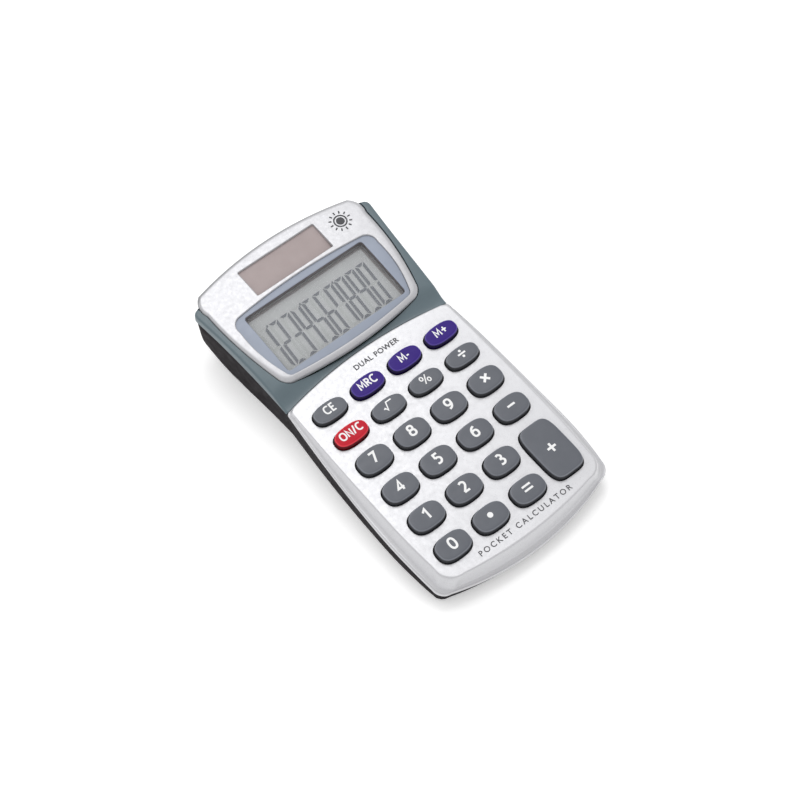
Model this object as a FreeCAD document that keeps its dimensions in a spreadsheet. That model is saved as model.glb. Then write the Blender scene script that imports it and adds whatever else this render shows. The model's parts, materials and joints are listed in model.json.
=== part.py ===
import FreeCAD, Part
import math
import os

import Sketcher

# Dual-power pocket calculator: a dark tub, a slate front case whose head rises over the display,
# a silver keypad plate and twenty-three sprung keys.
# Most pieces are drawn in the keypad frame: x across, y towards the display, z out of the keypad,
# with its origin at the centre of the top row of keys. The whole of it leans back on the table.

V = FreeCAD.Vector
doc = FreeCAD.newDocument("PocketCalculator")
sheet = doc.addObject("Spreadsheet::Sheet", "Dimensions")

DIMENSIONS = {
    "keypad_lean": 4.0,          # degrees between the keypad and the table
    "shift_back": 5.44,          # from the keypad frame to the middle of the base
    "shift_up": 14.9,
    "column_pitch": 13.5,
    "key_width": 10.75,
    "function_key_depth": 5.9,
    "digit_key_depth": 7.45,
    "plus_key_width": 11.3,
    "plus_key_depth": 18.4,
    "function_corner": 2.8,
    "digit_corner": 3.4,
    "key_top": 2.15,             # heights are along the keypad normal
    "key_edge_round": 0.45,
    "key_gap": 0.25,             # between a key and its hole
    "flange_lip": 0.6,           # how far the retaining flange passes the key
    "flange_top": -3.15,
    "flange_thickness": 0.8,
    "plate_top": 0.3,
    "plate_thickness": 2.4,
    "plate_edge_round": 0.45,
    "web_thickness": 1.0,
    "wall_thickness": 1.8,
    "floor_thickness": 1.6,
    "wall_draft": 0.11,          # inset per millimetre of depth
    "foot_height": 0.4,          # how far the feet hold the tub off the table
    "foot_diameter": 6.0,
    "board_top": -6.0,
    "board_thickness": 1.2,
    "mat_thickness": 0.6,
    "dome_base": 6.0,
    "dome_tip": 4.0,
    "display_lean": 4.5,         # degrees between the display and the keypad
    "display_back": 17.0,        # origin of the display frame in the keypad frame
    "display_up": 0.1,
    "window_width": 42.9,
    "window_depth": 20.7,
    "window_centre": 10.4,       # along the display, from the display frame's origin
    "glass_width": 47.6,
    "glass_depth": 25.6,
    "glass_thickness": 1.9,
    "lens_thickness": 0.8,
    "film_thickness": 0.25,
    "solar_width": 27.5,
    "solar_depth": 9.6,
    "solar_centre": 28.9,
    "solar_thickness": 1.2,
    "solar_top": 0.7,
    "bezel_edge_chamfer": 0.7,
    "border_drop": 0.7,          # from the bezel's face down to the border
    "cell_diameter": 11.6,
    "cell_height": 3.05,
    "cell_back": 24.0,
    "screw_diameter": 2.0,
    "screw_head": 3.8,
    "boss_diameter": 4.8,
}

for row, (alias, value) in enumerate(DIMENSIONS.items(), start=1):
    sheet.set("A%d" % row, alias)
    sheet.set("B%d" % row, str(value))
    sheet.setAlias("B%d" % row, alias)
doc.recompute()

D = {alias: float(sheet.get(alias)) for alias in DIMENSIONS}
pieces = []


# ---------------------------------------------------------------- frames and plan outlines

def keypad_frame():
    """Placement of the keypad frame on the table."""
    return FreeCAD.Placement(V(0, D["shift_back"], D["shift_up"]),
                             FreeCAD.Rotation(V(1, 0, 0), D["keypad_lean"]))


def display_frame():
    """Placement of the display frame inside the keypad frame."""
    return FreeCAD.Placement(V(0, D["display_back"], D["display_up"]),
                             FreeCAD.Rotation(V(1, 0, 0), D["display_lean"]))


def mirrored_outline(right_arcs, bottom_mid, top_mid):
    """Closed face from the arcs of the right side, their mirror images and one arc at each end."""
    def arc(points):
        return Part.Arc(*[V(x, y, 0) for x, y in points]).toShape()

    first = right_arcs[0][0]
    last = right_arcs[-1][2]
    edges = [arc(((-first[0], first[1]), bottom_mid, first))]
    edges += [arc(points) for points in right_arcs]
    edges.append(arc((last, top_mid, (-last[0], last[1]))))
    for points in reversed(right_arcs):
        edges.append(arc([(-x, y) for x, y in reversed(points)]))
    return Part.Face(Part.Wire(edges))


FOOT_ARCS = [((27.6, -61.1), (30.1, -59.9), (31.15, -57.2)),
             ((31.15, -57.2), (31.85, -50.0), (32.2, -41.0))]
WAIST_ARC = ((32.2, -41.0), (31.35, -16.0), (29.4, 7.5))
BOTTOM_MID = (0, -65.6)


def case_plan():
    return mirrored_outline(
        FOOT_ARCS + [WAIST_ARC,
                     ((29.4, 7.5), (30.1, 26.0), (31.85, 45.8)),
                     ((31.85, 45.8), (31.5, 47.4), (30.1, 48.2))],
        BOTTOM_MID, (0, 54.1))


def tub_plan():
    """The tub follows the case but turns its back corners more softly."""
    return mirrored_outline(
        FOOT_ARCS + [WAIST_ARC,
                     ((29.4, 7.5), (30.1, 26.0), (31.65, 44.6)),
                     ((31.65, 44.6), (30.9, 47.6), (28.0, 49.4))],
        BOTTOM_MID, (0, 54.1))


def plate_plan():
    """The keypad plate: the case outline up to a shallow arch below the display."""
    return mirrored_outline(
        FOOT_ARCS + [((32.2, -41.0), (31.35, -16.0), (29.45, 6.9)),
                     ((29.45, 6.9), (29.3, 7.6), (28.7, 7.95))],
        BOTTOM_MID, (0, 11.2))


def plateau_plan():
    """The raised field of the plate around the keys; the rest of the plate is a low flange."""
    return mirrored_outline(
        [((22.6, -60.4), (26.9, -58.6), (28.2, -54.2)),
         ((28.2, -54.2), (28.65, -47.0), (28.9, -40.0)),
         ((28.9, -40.0), (28.95, -18.0), (28.5, 4.6)),
         ((28.5, 4.6), (28.2, 6.6), (26.6, 7.8))],
        (0, -62.4), (0, 10.4))


def bezel_plan():
    return mirrored_outline(
        [((21.2, 13.9), (24.4, 15.2), (25.6, 17.6)),
         ((25.6, 17.6), (28.2, 30.0), (29.15, 44.5)),
         ((29.15, 44.5), (29.0, 49.2), (27.2, 51.4))],
        (0, 12.2), (0, 54.8))


def border_plan():
    return mirrored_outline(
        [((20.3, 15.4), (21.9, 15.9), (22.6, 17.2)),
         ((22.6, 17.2), (24.6, 24.5), (25.1, 34.5)),
         ((25.1, 34.5), (24.6, 37.4), (22.7, 38.7))],
        (0, 14.1), (0, 40.0))


def prism(face, low, high):
    lifted = face.copy()
    lifted.translate(V(0, 0, low))
    return lifted.extrude(V(0, 0, high - low))


def inset(face, distance):
    return face.makeOffset2D(-distance) if distance else face.copy()


def tapered(face, low, low_inset, high, high_inset):
    """Solid between an outline at two heights, pulled in by its own distance at each."""
    wires = []
    for level, distance in ((low, low_inset), (high, high_inset)):
        section = inset(face, distance)
        section.translate(V(0, 0, level))
        wires.append(section.OuterWire)
    return Part.makeLoft(wires, True, True)


def side_block(edges):
    """Solid of full width from a closed side profile of edges in the x = 0 plane."""
    half = 40.0
    face = Part.Face(Part.Wire(edges))
    face.translate(V(-half, 0, 0))
    return face.extrude(V(2 * half, 0, 0))


def side_curve(points, lift=0.0):
    """Smooth curve through side profile points given as (back, up)."""
    curve = Part.BSplineCurve()
    curve.interpolate([V(0, y, z + lift) for y, z in points])
    return curve.toShape()


def side_lines(points):
    vectors = [V(0, y, z) for y, z in points]
    return [Part.makeLine(a, b) for a, b in zip(vectors, vectors[1:])]


# Side profiles as (back, up) in the keypad frame.
PARTING_LINE = [(-70, -7.4), (-60, -5.6), (-50, -4.4), (-35, -4.1), (-20, -3.5), (-5, -2.6),
                (8, -1.9), (22, -0.6), (38, 0.7), (60, 1.5)]
SHOULDER_LINE = [(4, -1.4), (8, -0.5), (12, 0.6), (18, 1.7), (28, 2.9), (38, 3.5), (60, 3.9)]
FLANGE_LINE = [(-70, -6.2), (-62, -4.9), (-57, -4.1), (-50, -3.5), (-40, -3.2), (-28, -3.0), (-20, -2.6),
               (-12, -1.9), (-5, -1.4), (2, -1.1), (16, -0.9)]
BEZEL_LINE = [(8, 0.9), (14, 1.9), (22, 2.9), (32, 3.8), (44, 4.25), (60, 4.35)]


def block_under(points, floor, lift=0.0):
    """Everything below a side curve down to a level floor."""
    (y0, z0), (y1, z1) = points[0], points[-1]
    lines = side_lines([(y1, z1 + lift), (y1, floor), (y0, floor), (y0, z0 + lift)])
    return side_block([side_curve(points, lift)] + lines)


# ---------------------------------------------------------------- keys: what, where, how large

FUNCTION, DIGIT, PLUS = "function", "digit", "plus"
COLUMNS = [(i - 1.5) * D["column_pitch"] for i in range(4)]
ROWS = [0.1, -9.25, -19.4, -30.5, -41.6, -52.6]
PLUS_PLACE = (20.2, -47.2)
KEY_NAMES = [
    ["key_clear_entry", "key_memory_recall", "key_memory_minus", "key_memory_plus"],
    ["key_on_clear", "key_root", "key_percent", "key_divide"],
    ["key_7", "key_8", "key_9", "key_times"],
    ["key_4", "key_5", "key_6", "key_minus"],
    ["key_1", "key_2", "key_3"],
    ["key_0", "key_decimal", "key_equals"],
]
KEY_SIZES = {
    FUNCTION: ("key_width", "function_key_depth", "function_corner"),
    DIGIT: ("key_width", "digit_key_depth", "digit_corner"),
    PLUS: ("plus_key_width", "plus_key_depth", "digit_corner"),
}
KEYS = [(name, FUNCTION if row < 2 else DIGIT, COLUMNS[column], ROWS[row])
        for row, names in enumerate(KEY_NAMES) for column, name in enumerate(names)]
KEYS.append(("key_plus", PLUS, *PLUS_PLACE))


def rounded_rectangle(width, depth, corner, x=0.0, y=0.0):
    box = Part.makeBox(width, depth, 1, V(x - width / 2, y - depth / 2, 0))
    upright = [e for e in box.Edges if abs(e.Vertexes[0].Z - e.Vertexes[1].Z) > 0.5]
    rounded = box.makeFillet(corner, upright)
    return [f for f in rounded.Faces if abs(f.normalAt(0, 0).z + 1) < 1e-6 and f.CenterOfMass.z < 0.5][0]


def key_cutter(grow, low, high):
    """All the key outlines, grown by a gap, as one tool."""
    tools = []
    for name, kind, x, y in KEYS:
        width, depth, corner = [D[alias] for alias in KEY_SIZES[kind]]
        face = rounded_rectangle(width + 2 * grow, depth + 2 * grow, corner + grow, x, y)
        tools.append(prism(face, low, high))
    return Part.makeCompound(tools)


# ---------------------------------------------------------------- putting pieces in the document

def add_shape(name, shape, frame=None):
    """A piece whose shape is worked out here; its Placement is its frame."""
    piece = doc.addObject("Part::Feature", name)
    piece.Label = name
    piece.Shape = shape
    piece.Placement = frame or keypad_frame()
    pieces.append(piece)
    return piece


def add_object(kind, name, frame=None, **expressions):
    """A parametric primitive whose sizes are expressions on the sheet."""
    made = doc.addObject(kind, name)
    made.Label = name
    for key, expression in expressions.items():
        made.setExpression(key, expression)
    if frame:
        made.Placement = frame
    return made


def keep(piece, name):
    piece.Label = name
    pieces.append(piece)
    return piece


def plane_of(body, role):
    return [f for f in body.Origin.OriginFeatures if f.Role == role][0]


def rectangle_sketch(body, name, width, depth, height):
    """Centred rectangle on the body's XY plane; the arguments are expressions."""
    sketch = body.newObject("Sketcher::SketchObject", name)
    sketch.AttachmentSupport = [(plane_of(body, "XY_Plane"), "")]
    sketch.MapMode = "FlatFace"
    sketch.setExpression("AttachmentOffset.Base.z", height)
    corners = [V(-1, -1, 0), V(1, -1, 0), V(1, 1, 0), V(-1, 1, 0)]
    for i in range(4):
        sketch.addGeometry(Part.LineSegment(corners[i], corners[(i + 1) % 4]))
    for i in range(4):
        sketch.addConstraint(Sketcher.Constraint("Coincident", i, 2, (i + 1) % 4, 1))
        sketch.addConstraint(Sketcher.Constraint("Vertical" if i % 2 else "Horizontal", i))
    sketch.addConstraint(Sketcher.Constraint("Symmetric", 0, 1, 1, 2, -1, 1))
    across = sketch.addConstraint(Sketcher.Constraint("DistanceX", 0, 1, 0, 2, 2.0))
    along = sketch.addConstraint(Sketcher.Constraint("DistanceY", 1, 1, 1, 2, 2.0))
    sketch.setExpression("Constraints[%d]" % across, width)
    sketch.setExpression("Constraints[%d]" % along, depth)
    return sketch


def round_edges(body, name, base, radius, chosen):
    doc.recompute()
    fillet = body.newObject("PartDesign::Fillet", name)
    names = ["Edge%d" % (i + 1) for i, edge in enumerate(base.Shape.Edges) if chosen(edge)]
    fillet.Base = (base, names)
    fillet.setExpression("Radius", radius)
    return fillet


def upright(low, high):
    """Chooses the straight edges that rise along Z between two levels."""
    def chosen(edge):
        ends = [v.Z for v in edge.Vertexes]
        return len(ends) == 2 and abs(ends[0] - ends[1]) > 0.3 and low < min(ends) and max(ends) < high
    return chosen


def at_level(level):
    return lambda edge: all(abs(v.Z - level) < 1e-6 for v in edge.Vertexes)


def make_key(name, kind, x, y):
    """A key: a rounded cap over a wider flange that the plate holds down."""
    width, depth, corner = ["Dimensions." + alias for alias in KEY_SIZES[kind]]
    body = doc.addObject("PartDesign::Body", name)
    cap_pad = body.newObject("PartDesign::Pad", name + "_cap")
    cap_pad.Profile = rectangle_sketch(body, name + "_cap_outline", width, depth,
                                       "Dimensions.flange_top")
    cap_pad.setExpression("Length", "Dimensions.key_top-Dimensions.flange_top")
    cap_round = round_edges(body, name + "_cap_corners", cap_pad, corner, upright(-10, 10))
    round_edges(body, name + "_top_edge", cap_round, "Dimensions.key_edge_round", at_level(D["key_top"]))
    lip = "+2*Dimensions.flange_lip"
    flange_pad = body.newObject("PartDesign::Pad", name + "_flange")
    flange_pad.Profile = rectangle_sketch(body, name + "_flange_outline", width + lip, depth + lip,
                                          "Dimensions.flange_top-Dimensions.flange_thickness")
    flange_pad.setExpression("Length", "Dimensions.flange_thickness")
    body.Tip = round_edges(body, name + "_flange_corners", flange_pad,
                           corner + "+Dimensions.flange_lip", upright(-10, D["flange_top"] + 0.01))
    body.Placement = keypad_frame() * FreeCAD.Placement(V(x, y, 0), FreeCAD.Rotation())
    keep(body, name)


# ---------------------------------------------------------------- shells

web_top = D["plate_top"] - D["plate_thickness"]
web_bottom = web_top - D["web_thickness"]
board_bottom = D["board_top"] - D["board_thickness"]
CASE_SCREWS = [(-13.5, -36.05), (13.5, -36.05), (-23.0, 44.0), (23.0, 44.0)]
BOARD_SCREWS = [(-13.5, -14.3), (13.5, -14.3), (0.0, -47.1), (0.0, 6.8)]
REAR_BOSS_DIAMETER = 6.0
BOARD_SCREW_DIAMETER = 1.6
SOLAR_CELL_SIZE = (D["solar_width"] + 3.4, D["solar_depth"] + 1.4)
SOLAR_CELL_SETBACK = 0.3
LENS_SIZE = (D["window_width"] + 1.5, D["window_depth"] + 1.5)
BOARD_BOSS_DIAMETER = 3.4


def cylinder(diameter, low, high, x=0.0, y=0.0):
    return Part.makeCylinder(diameter / 2, high - low, V(x, y, low))


def display_tool(width, depth, low, high, centre, corner=0.6):
    """Rounded block in the display frame, moved into the keypad frame."""
    tool = prism(rounded_rectangle(width, depth, corner, 0, centre), low, high)
    tool.Placement = display_frame() * tool.Placement
    return tool


def display_block(low, high):
    """Slab of space between two heights of the display frame."""
    slab = Part.makeBox(90, 90, high - low, V(-45, -30, low))
    slab.Placement = display_frame() * slab.Placement
    return slab


def solar_pocket(high):
    """Room for the solar cell, a little wider than its window and set back from the border."""
    return display_tool(SOLAR_CELL_SIZE[0] + 0.2, SOLAR_CELL_SIZE[1] + 0.2, -9, high,
                        D["solar_centre"] + SOLAR_CELL_SETBACK, 0.1)


def make_keypad_plate():
    """Silver plate: a field around the keys, a low flange, and a rim down to the parting line."""
    edge = D["plate_edge_round"]
    low = -6.0
    outer = prism(plate_plan(), -9, 9)
    field = tapered(plateau_plan(), low, -1.2, D["plate_top"] - edge, 0)
    field = field.fuse(tapered(plateau_plan(), D["plate_top"] - edge, 0, D["plate_top"], edge))
    solid = outer.common(block_under(FLANGE_LINE, -20)).fuse(field.common(outer))
    solid = solid.cut(block_under(PARTING_LINE, -30))
    hollow = prism(inset(plateau_plan(), 0.4), -12, web_top)
    solid = solid.cut(hollow).cut(key_cutter(D["key_gap"], -9, 3))
    add_shape("keypad_plate", largest(solid))


def make_display_bezel():
    """Silver frame of the head, with openings for the border and the solar cell."""
    solid = prism(bezel_plan(), -3, 9).common(block_under(BEZEL_LINE, -20))
    solid = solid.common(display_block(0, 12)).Solids[0]
    top = [e for e in solid.Edges if e.CenterOfMass.z > 1.25 and is_rim(e)]
    solid = solid.makeChamfer(D["bezel_edge_chamfer"], top)
    solid = solid.cut(prism(border_plan(), -5, 9))
    solid = solid.cut(display_tool(D["solar_width"], D["solar_depth"], -2, 9, D["solar_centre"], 0.4))
    solid = solid.cut(solar_pocket(D["solar_top"]))
    add_shape("display_bezel", solid.Solids[0])


def is_rim(edge):
    """Whether an edge of the bezel lies on its upper face."""
    def height(y):
        curve = side_curve(BEZEL_LINE)
        line = Part.makeLine(V(0, y, -20), V(0, y, 20))
        return curve.distToShape(line)[1][0][0].z
    middle = edge.valueAt((edge.FirstParameter + edge.LastParameter) / 2)
    return abs(middle.z - height(middle.y)) < 0.02


def make_window_border():
    """Blue-grey frame around the display window."""
    solid = prism(inset(border_plan(), 0.02), -3, 9).common(block_under(BEZEL_LINE, -20, -D["border_drop"]))
    solid = solid.common(display_block(0, 12))
    solid = solid.cut(display_tool(D["window_width"], D["window_depth"], -5, 12, D["window_centre"], 1.0))
    add_shape("window_border", solid.Solids[0])


def make_front_case():
    """Slate case: a flat web under the plate and a raised head around the bezel."""
    head = prism(case_plan(), -9, 9).common(block_under(SHOULDER_LINE, -20))
    head = head.cut(block_under(PARTING_LINE, -30))
    head = head.cut(prism(plate_plan().makeOffset2D(0.1), -9, 9))
    bezel_pocket = prism(bezel_plan().makeOffset2D(0.2), -9, 9).common(display_block(0, 12))
    head = head.cut(bezel_pocket)
    web_plan = inset(case_plan(), 2.6)
    web = prism(web_plan, web_bottom, web_top).common(Part.makeBox(80, 8.3, 20, V(-40, 6, -10)))
    field_web = prism(inset(plateau_plan(), 0.6), web_bottom, web_top)
    web = web.fuse(field_web.common(prism(web_plan, -9, 9)))
    riser = prism(web_plan, web_bottom, -0.4).common(Part.makeBox(80, 2.7, 20, V(-40, 11.6, -10)))
    solid = head.fuse([web, riser])
    for x, y in CASE_SCREWS:
        top = web_top if y < 0 else 1.4
        bottom = -8.0 if y < 0 else -3.9
        solid = solid.fuse(cylinder(D["boss_diameter"], bottom, top, x, y))
    for x, y in BOARD_SCREWS:
        solid = solid.fuse(cylinder(BOARD_BOSS_DIAMETER, D["board_top"], web_top, x, y))
    solid = solid.cut(key_cutter(D["key_gap"], -9, 3))
    solid = solid.cut(display_tool(LENS_SIZE[0] + 0.2, LENS_SIZE[1] + 0.2, -9, 1, D["window_centre"], 0.1))
    solid = solid.cut(display_tool(D["glass_width"] + 0.2, D["glass_depth"] + 0.2, -9, -D["lens_thickness"],
                                   D["window_centre"], 0.1))
    solid = solid.cut(solar_pocket(3))
    for x, y in CASE_SCREWS:
        solid = solid.cut(cylinder(D["screw_diameter"], -12, 1.0 if y > 0 else -2.6, x, y))
    for x, y in BOARD_SCREWS:
        solid = solid.cut(cylinder(BOARD_SCREW_DIAMETER, -9, -2.8, x, y))
    add_shape("front_case", largest(solid))


def largest(shape):
    return max(shape.Solids, key=lambda solid: solid.Volume)


def table_height(y, above=0.0):
    """Height in the keypad frame of a point `above` the table."""
    lean = math.radians(D["keypad_lean"])
    return (above - D["shift_up"] - y * math.sin(lean)) / math.cos(lean)


def tub_block(lift, ends):
    """Side profile of the tub: flat floor, a short rise at the front and a long one at the back."""
    floor = D["foot_height"] + lift
    front, back = -56.0 + ends, 29.0 - ends / 2
    front_rise = [(front, table_height(front, floor)), (-61.5 + ends, table_height(-61.5, floor) + 0.9),
                  (-65.0 + ends, -7.9 + lift), (-67.0 + ends, -5.0)]
    back_rise = [(back, table_height(back, floor)), (38.0 - ends / 2, -15.2 + lift),
                 (46.0 - ends, -9.6 + lift), (51.6 - ends, -3.0 + lift / 2), (54.8 - ends, 3.0)]
    edges = [side_curve(front_rise), side_curve(back_rise)]
    edges += side_lines([front_rise[0], back_rise[0]])
    edges += side_lines([front_rise[-1], (front_rise[-1][0], 8.0), (back_rise[-1][0], 8.0), back_rise[-1]])
    return side_block(Part.sortEdges(edges)[0])


def drafted_tub(extra):
    """The tub outline, upright along the rim and pulled in towards the table below it."""
    low, rim_level, high, rim = -20.0, -2.0, 6.0, 0.25
    spread = D["wall_draft"] * (rim_level - low)
    lower = tapered(tub_plan(), low, rim + extra + spread, rim_level, rim + extra)
    return lower.fuse(prism(inset(tub_plan(), rim + extra), rim_level, high))


def make_rear_cover():
    """Dark tub with screw bosses, a battery well and seats for the feet."""
    outer = drafted_tub(0).common(tub_block(0, 0))
    hollow = drafted_tub(D["wall_thickness"]).common(tub_block(D["floor_thickness"], 1.8))
    below = block_under(PARTING_LINE, -30)
    bosses = [cylinder(REAR_BOSS_DIAMETER, -25, -8.05 if y < 0 else -3.95, x, y) for x, y in CASE_SCREWS]
    well = cylinder(D["cell_diameter"] + 3.0, -25, CELL_TOP - 0.2, *CELL_PLACE)
    solid = outer.cut(hollow).common(below)
    solid = solid.fuse([outer.common(tool) for tool in bosses + [well]])
    solid = solid.cut(cylinder(D["cell_diameter"] + 0.4, -25, 0, *CELL_PLACE))
    solid = solid.cut(door_block(0.15))
    solid = solid.cut(cylinder(1.6, -25, -10.5, *DOOR_SCREW_PLACE))
    for (x, y), seat in zip(CASE_SCREWS, SCREW_SEATS):
        solid = solid.cut(cylinder(D["screw_diameter"] + 0.4, -25, 0, x, y))
        solid = solid.cut(cylinder(D["screw_head"] + 0.4, -25, seat, x, y))
    for x, y in CONTACT_SLOTS:
        solid = solid.cut(Part.makeBox(3.2, 1.6, 8, V(x - 1.6, y - 0.8, CELL_BOTTOM - 0.1)))
    solid.Placement = keypad_frame()
    solid = solid.cut(Part.makeCompound([foot(x, y, 0.05) for x, y in FEET]))
    add_shape("rear_cover", largest(solid).copy(), FreeCAD.Placement())


# ---------------------------------------------------------------- battery, feet and screws

CELL_PLACE = (0.0, D["cell_back"])
CELL_BOTTOM = table_height(D["cell_back"], 3.1)
CELL_TOP = CELL_BOTTOM + D["cell_height"]
DOOR_SIZE = (17.0, 25.0, 1.4)
DOOR_PLACE = (0.0, 21.5)
DOOR_SCREW_PLACE = (0.0, 12.4)
CONTACT_SLOTS = [(0.0, D["cell_back"] + D["cell_diameter"] / 2 + 0.7)]
SCREW_SEATS = [-10.6, -10.6, -6.8, -6.8]
FEET = [(-21.0, -45.0), (21.0, -45.0), (-21.0, 29.0), (21.0, 29.0)]
FOOT_THICKNESS = 1.1


def foot(x, y, clearance=0.0):
    return Part.makeCylinder(D["foot_diameter"] / 2 + clearance, FOOT_THICKNESS + clearance, V(x, y, 0))


def door_block(clearance):
    """Battery door, a rounded slab lying in the floor of the tub."""
    width, depth, thickness = DOOR_SIZE
    face = rounded_rectangle(width + 2 * clearance, depth + 2 * clearance, 2.0 + clearance)
    low = -5.0 if clearance else 0.0
    slab = prism(face, low, thickness + clearance * 0.2)
    turn = FreeCAD.Placement(V(DOOR_PLACE[0], DOOR_PLACE[1], table_height(DOOR_PLACE[1], D["foot_height"])),
                             FreeCAD.Rotation(V(1, 0, 0), -D["keypad_lean"]))
    slab.Placement = turn * slab.Placement
    return slab


def screw(x, y, head_bottom, head_height, head, shank, length):
    """Pan-head screw standing upright, with a cross recess in its head below."""
    solid = cylinder(head, head_bottom, head_bottom + head_height, x, y)
    solid = solid.fuse(cylinder(shank, head_bottom + head_height, head_bottom + head_height + length, x, y))
    for width, depth in ((head * 0.6, 0.5), (0.5, head * 0.6)):
        slot = Part.makeBox(width, depth, head_height * 0.6, V(x - width / 2, y - depth / 2, head_bottom))
        solid = solid.cut(slot)
    return solid


def make_fasteners():
    shank = D["screw_diameter"] - 0.04
    case = []
    for (x, y), seat in zip(CASE_SCREWS, SCREW_SEATS):
        case.append(screw(x, y, seat - 1.3, 1.3, D["screw_head"], shank, 7.4))
    add_shape("case_screws", Part.makeCompound(case))
    board = [screw(x, y, board_bottom - 0.8, 0.8, 2.8, BOARD_SCREW_DIAMETER - 0.04, 4.2)
             for x, y in BOARD_SCREWS]
    add_shape("board_screws", Part.makeCompound(board))
    x, y = DOOR_SCREW_PLACE
    seat = table_height(y, D["foot_height"] + 0.9)
    add_shape("battery_cover_screw", screw(x, y, seat - 0.8, 0.8, 2.8, 1.56, 3.6))
    feet = Part.makeCompound([foot(x, y) for x, y in FEET])
    add_shape("rubber_feet", feet, FreeCAD.Placement())


def make_battery():
    x, y = DOOR_SCREW_PLACE
    door = door_block(0)
    door = door.cut(cylinder(1.8, -25, 0, x, y))
    door = door.cut(cylinder(3.2, -25, table_height(y, D["foot_height"] + 0.9), x, y))
    add_shape("battery_cover", door)
    cell_frame = keypad_frame() * FreeCAD.Placement(V(*CELL_PLACE, CELL_BOTTOM), FreeCAD.Rotation())
    can = add_object("Part::Cylinder", "cell_can", None, Radius="Dimensions.cell_diameter/2",
                     Height="Dimensions.cell_height-0.4")
    cap = add_object("Part::Cylinder", "cell_cap", None, Radius="Dimensions.cell_diameter/2-1.2",
                     Height="Dimensions.cell_height")
    cell = doc.addObject("Part::Fuse", "button_cell")
    cell.Base, cell.Tool = can, cap
    cell.Placement = cell_frame
    keep(cell, "button_cell")
    strip = 0.3
    x, y = CELL_PLACE
    top_pad = Part.makeBox(5, 6, strip, V(x - 2.5, y - 3, CELL_TOP + 0.02))
    riser = Part.makeBox(5, strip, board_bottom - CELL_TOP - 0.02, V(x - 2.5, y - 3, CELL_TOP + 0.02))
    foot_pad = Part.makeBox(5, 3.5, strip, V(x - 2.5, y - 6.5 + strip, board_bottom - strip))
    add_shape("battery_contact_negative", top_pad.fuse([riser, foot_pad]).removeSplitter())
    x, y = CONTACT_SLOTS[0]
    blade = Part.makeBox(3, strip, board_bottom - CELL_BOTTOM, V(x - 1.5, y - 0.3, CELL_BOTTOM))
    tab = Part.makeBox(3, 3, strip, V(x - 1.5, y - 0.3, board_bottom - strip))
    add_shape("battery_contact_positive", blade.fuse(tab).removeSplitter())


# ---------------------------------------------------------------- electronics

def make_board():
    """Circuit board, keypad mat with a rubber dome under each key, and the parts on the board."""
    plan = prism(inset(case_plan(), 5.0), board_bottom, D["board_top"])
    plan = plan.common(Part.makeBox(80, 101.0, 20, V(-40, -58.4, -15)))
    holes = [cylinder(REAR_BOSS_DIAMETER + 0.6, -12, 0, x, y) for x, y in CASE_SCREWS]
    holes += [cylinder(BOARD_SCREW_DIAMETER + 0.4, -12, 0, x, y) for x, y in BOARD_SCREWS]
    add_shape("main_board", largest(plan.cut(Part.makeCompound(holes))))

    mat_top = D["board_top"] + D["mat_thickness"]
    mat = prism(inset(plate_plan(), 5.0), D["board_top"], mat_top)
    mat = mat.common(Part.makeBox(80, 62.0, 20, V(-40, -57.5, -15)))
    holes = [cylinder(D["boss_diameter"] + 0.4, -12, 0, x, y) for x, y in CASE_SCREWS]
    holes += [cylinder(BOARD_BOSS_DIAMETER + 0.4, -12, 0, x, y) for x, y in BOARD_SCREWS]
    mat = mat.cut(Part.makeCompound(holes))
    dome_top = D["flange_top"] - D["flange_thickness"] - 0.04
    domes = []
    for name, kind, x, y in KEYS:
        size = 0.86 if kind == FUNCTION else 1.0
        domes.append(Part.makeCone(size * D["dome_base"] / 2, size * D["dome_tip"] / 2, dome_top - mat_top,
                                   V(x, y, mat_top)))
    add_shape("keypad_mat", largest(mat.fuse(domes)))

    chip = Part.makeCylinder(4.6, 0.5, V(9.0, -25.0, board_bottom - 0.5))
    crown = Part.makeCone(3.4, 4.6, 0.6, V(9.0, -25.0, board_bottom - 1.1))
    add_shape("chip_cover", chip.fuse(crown).removeSplitter())
    can = add_object("Part::Cylinder", "capacitor", keypad_frame() * FreeCAD.Placement(
        V(-14.0, 12.0, board_bottom - 5.4), FreeCAD.Rotation()))
    can.Radius, can.Height = 2.0, 5.4
    keep(can, "capacitor")


def display_slab(name, size, low, thickness, y):
    """Flat block in the display frame; thickness is an expression on the sheet."""
    slab = doc.addObject("Part::Box", name)
    slab.Length, slab.Width = size
    slab.setExpression("Height", thickness)
    corner = V(-size[0] / 2, y - size[1] / 2, low)
    slab.Placement = keypad_frame() * display_frame() * FreeCAD.Placement(corner, FreeCAD.Rotation())
    return keep(slab, name)


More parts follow.
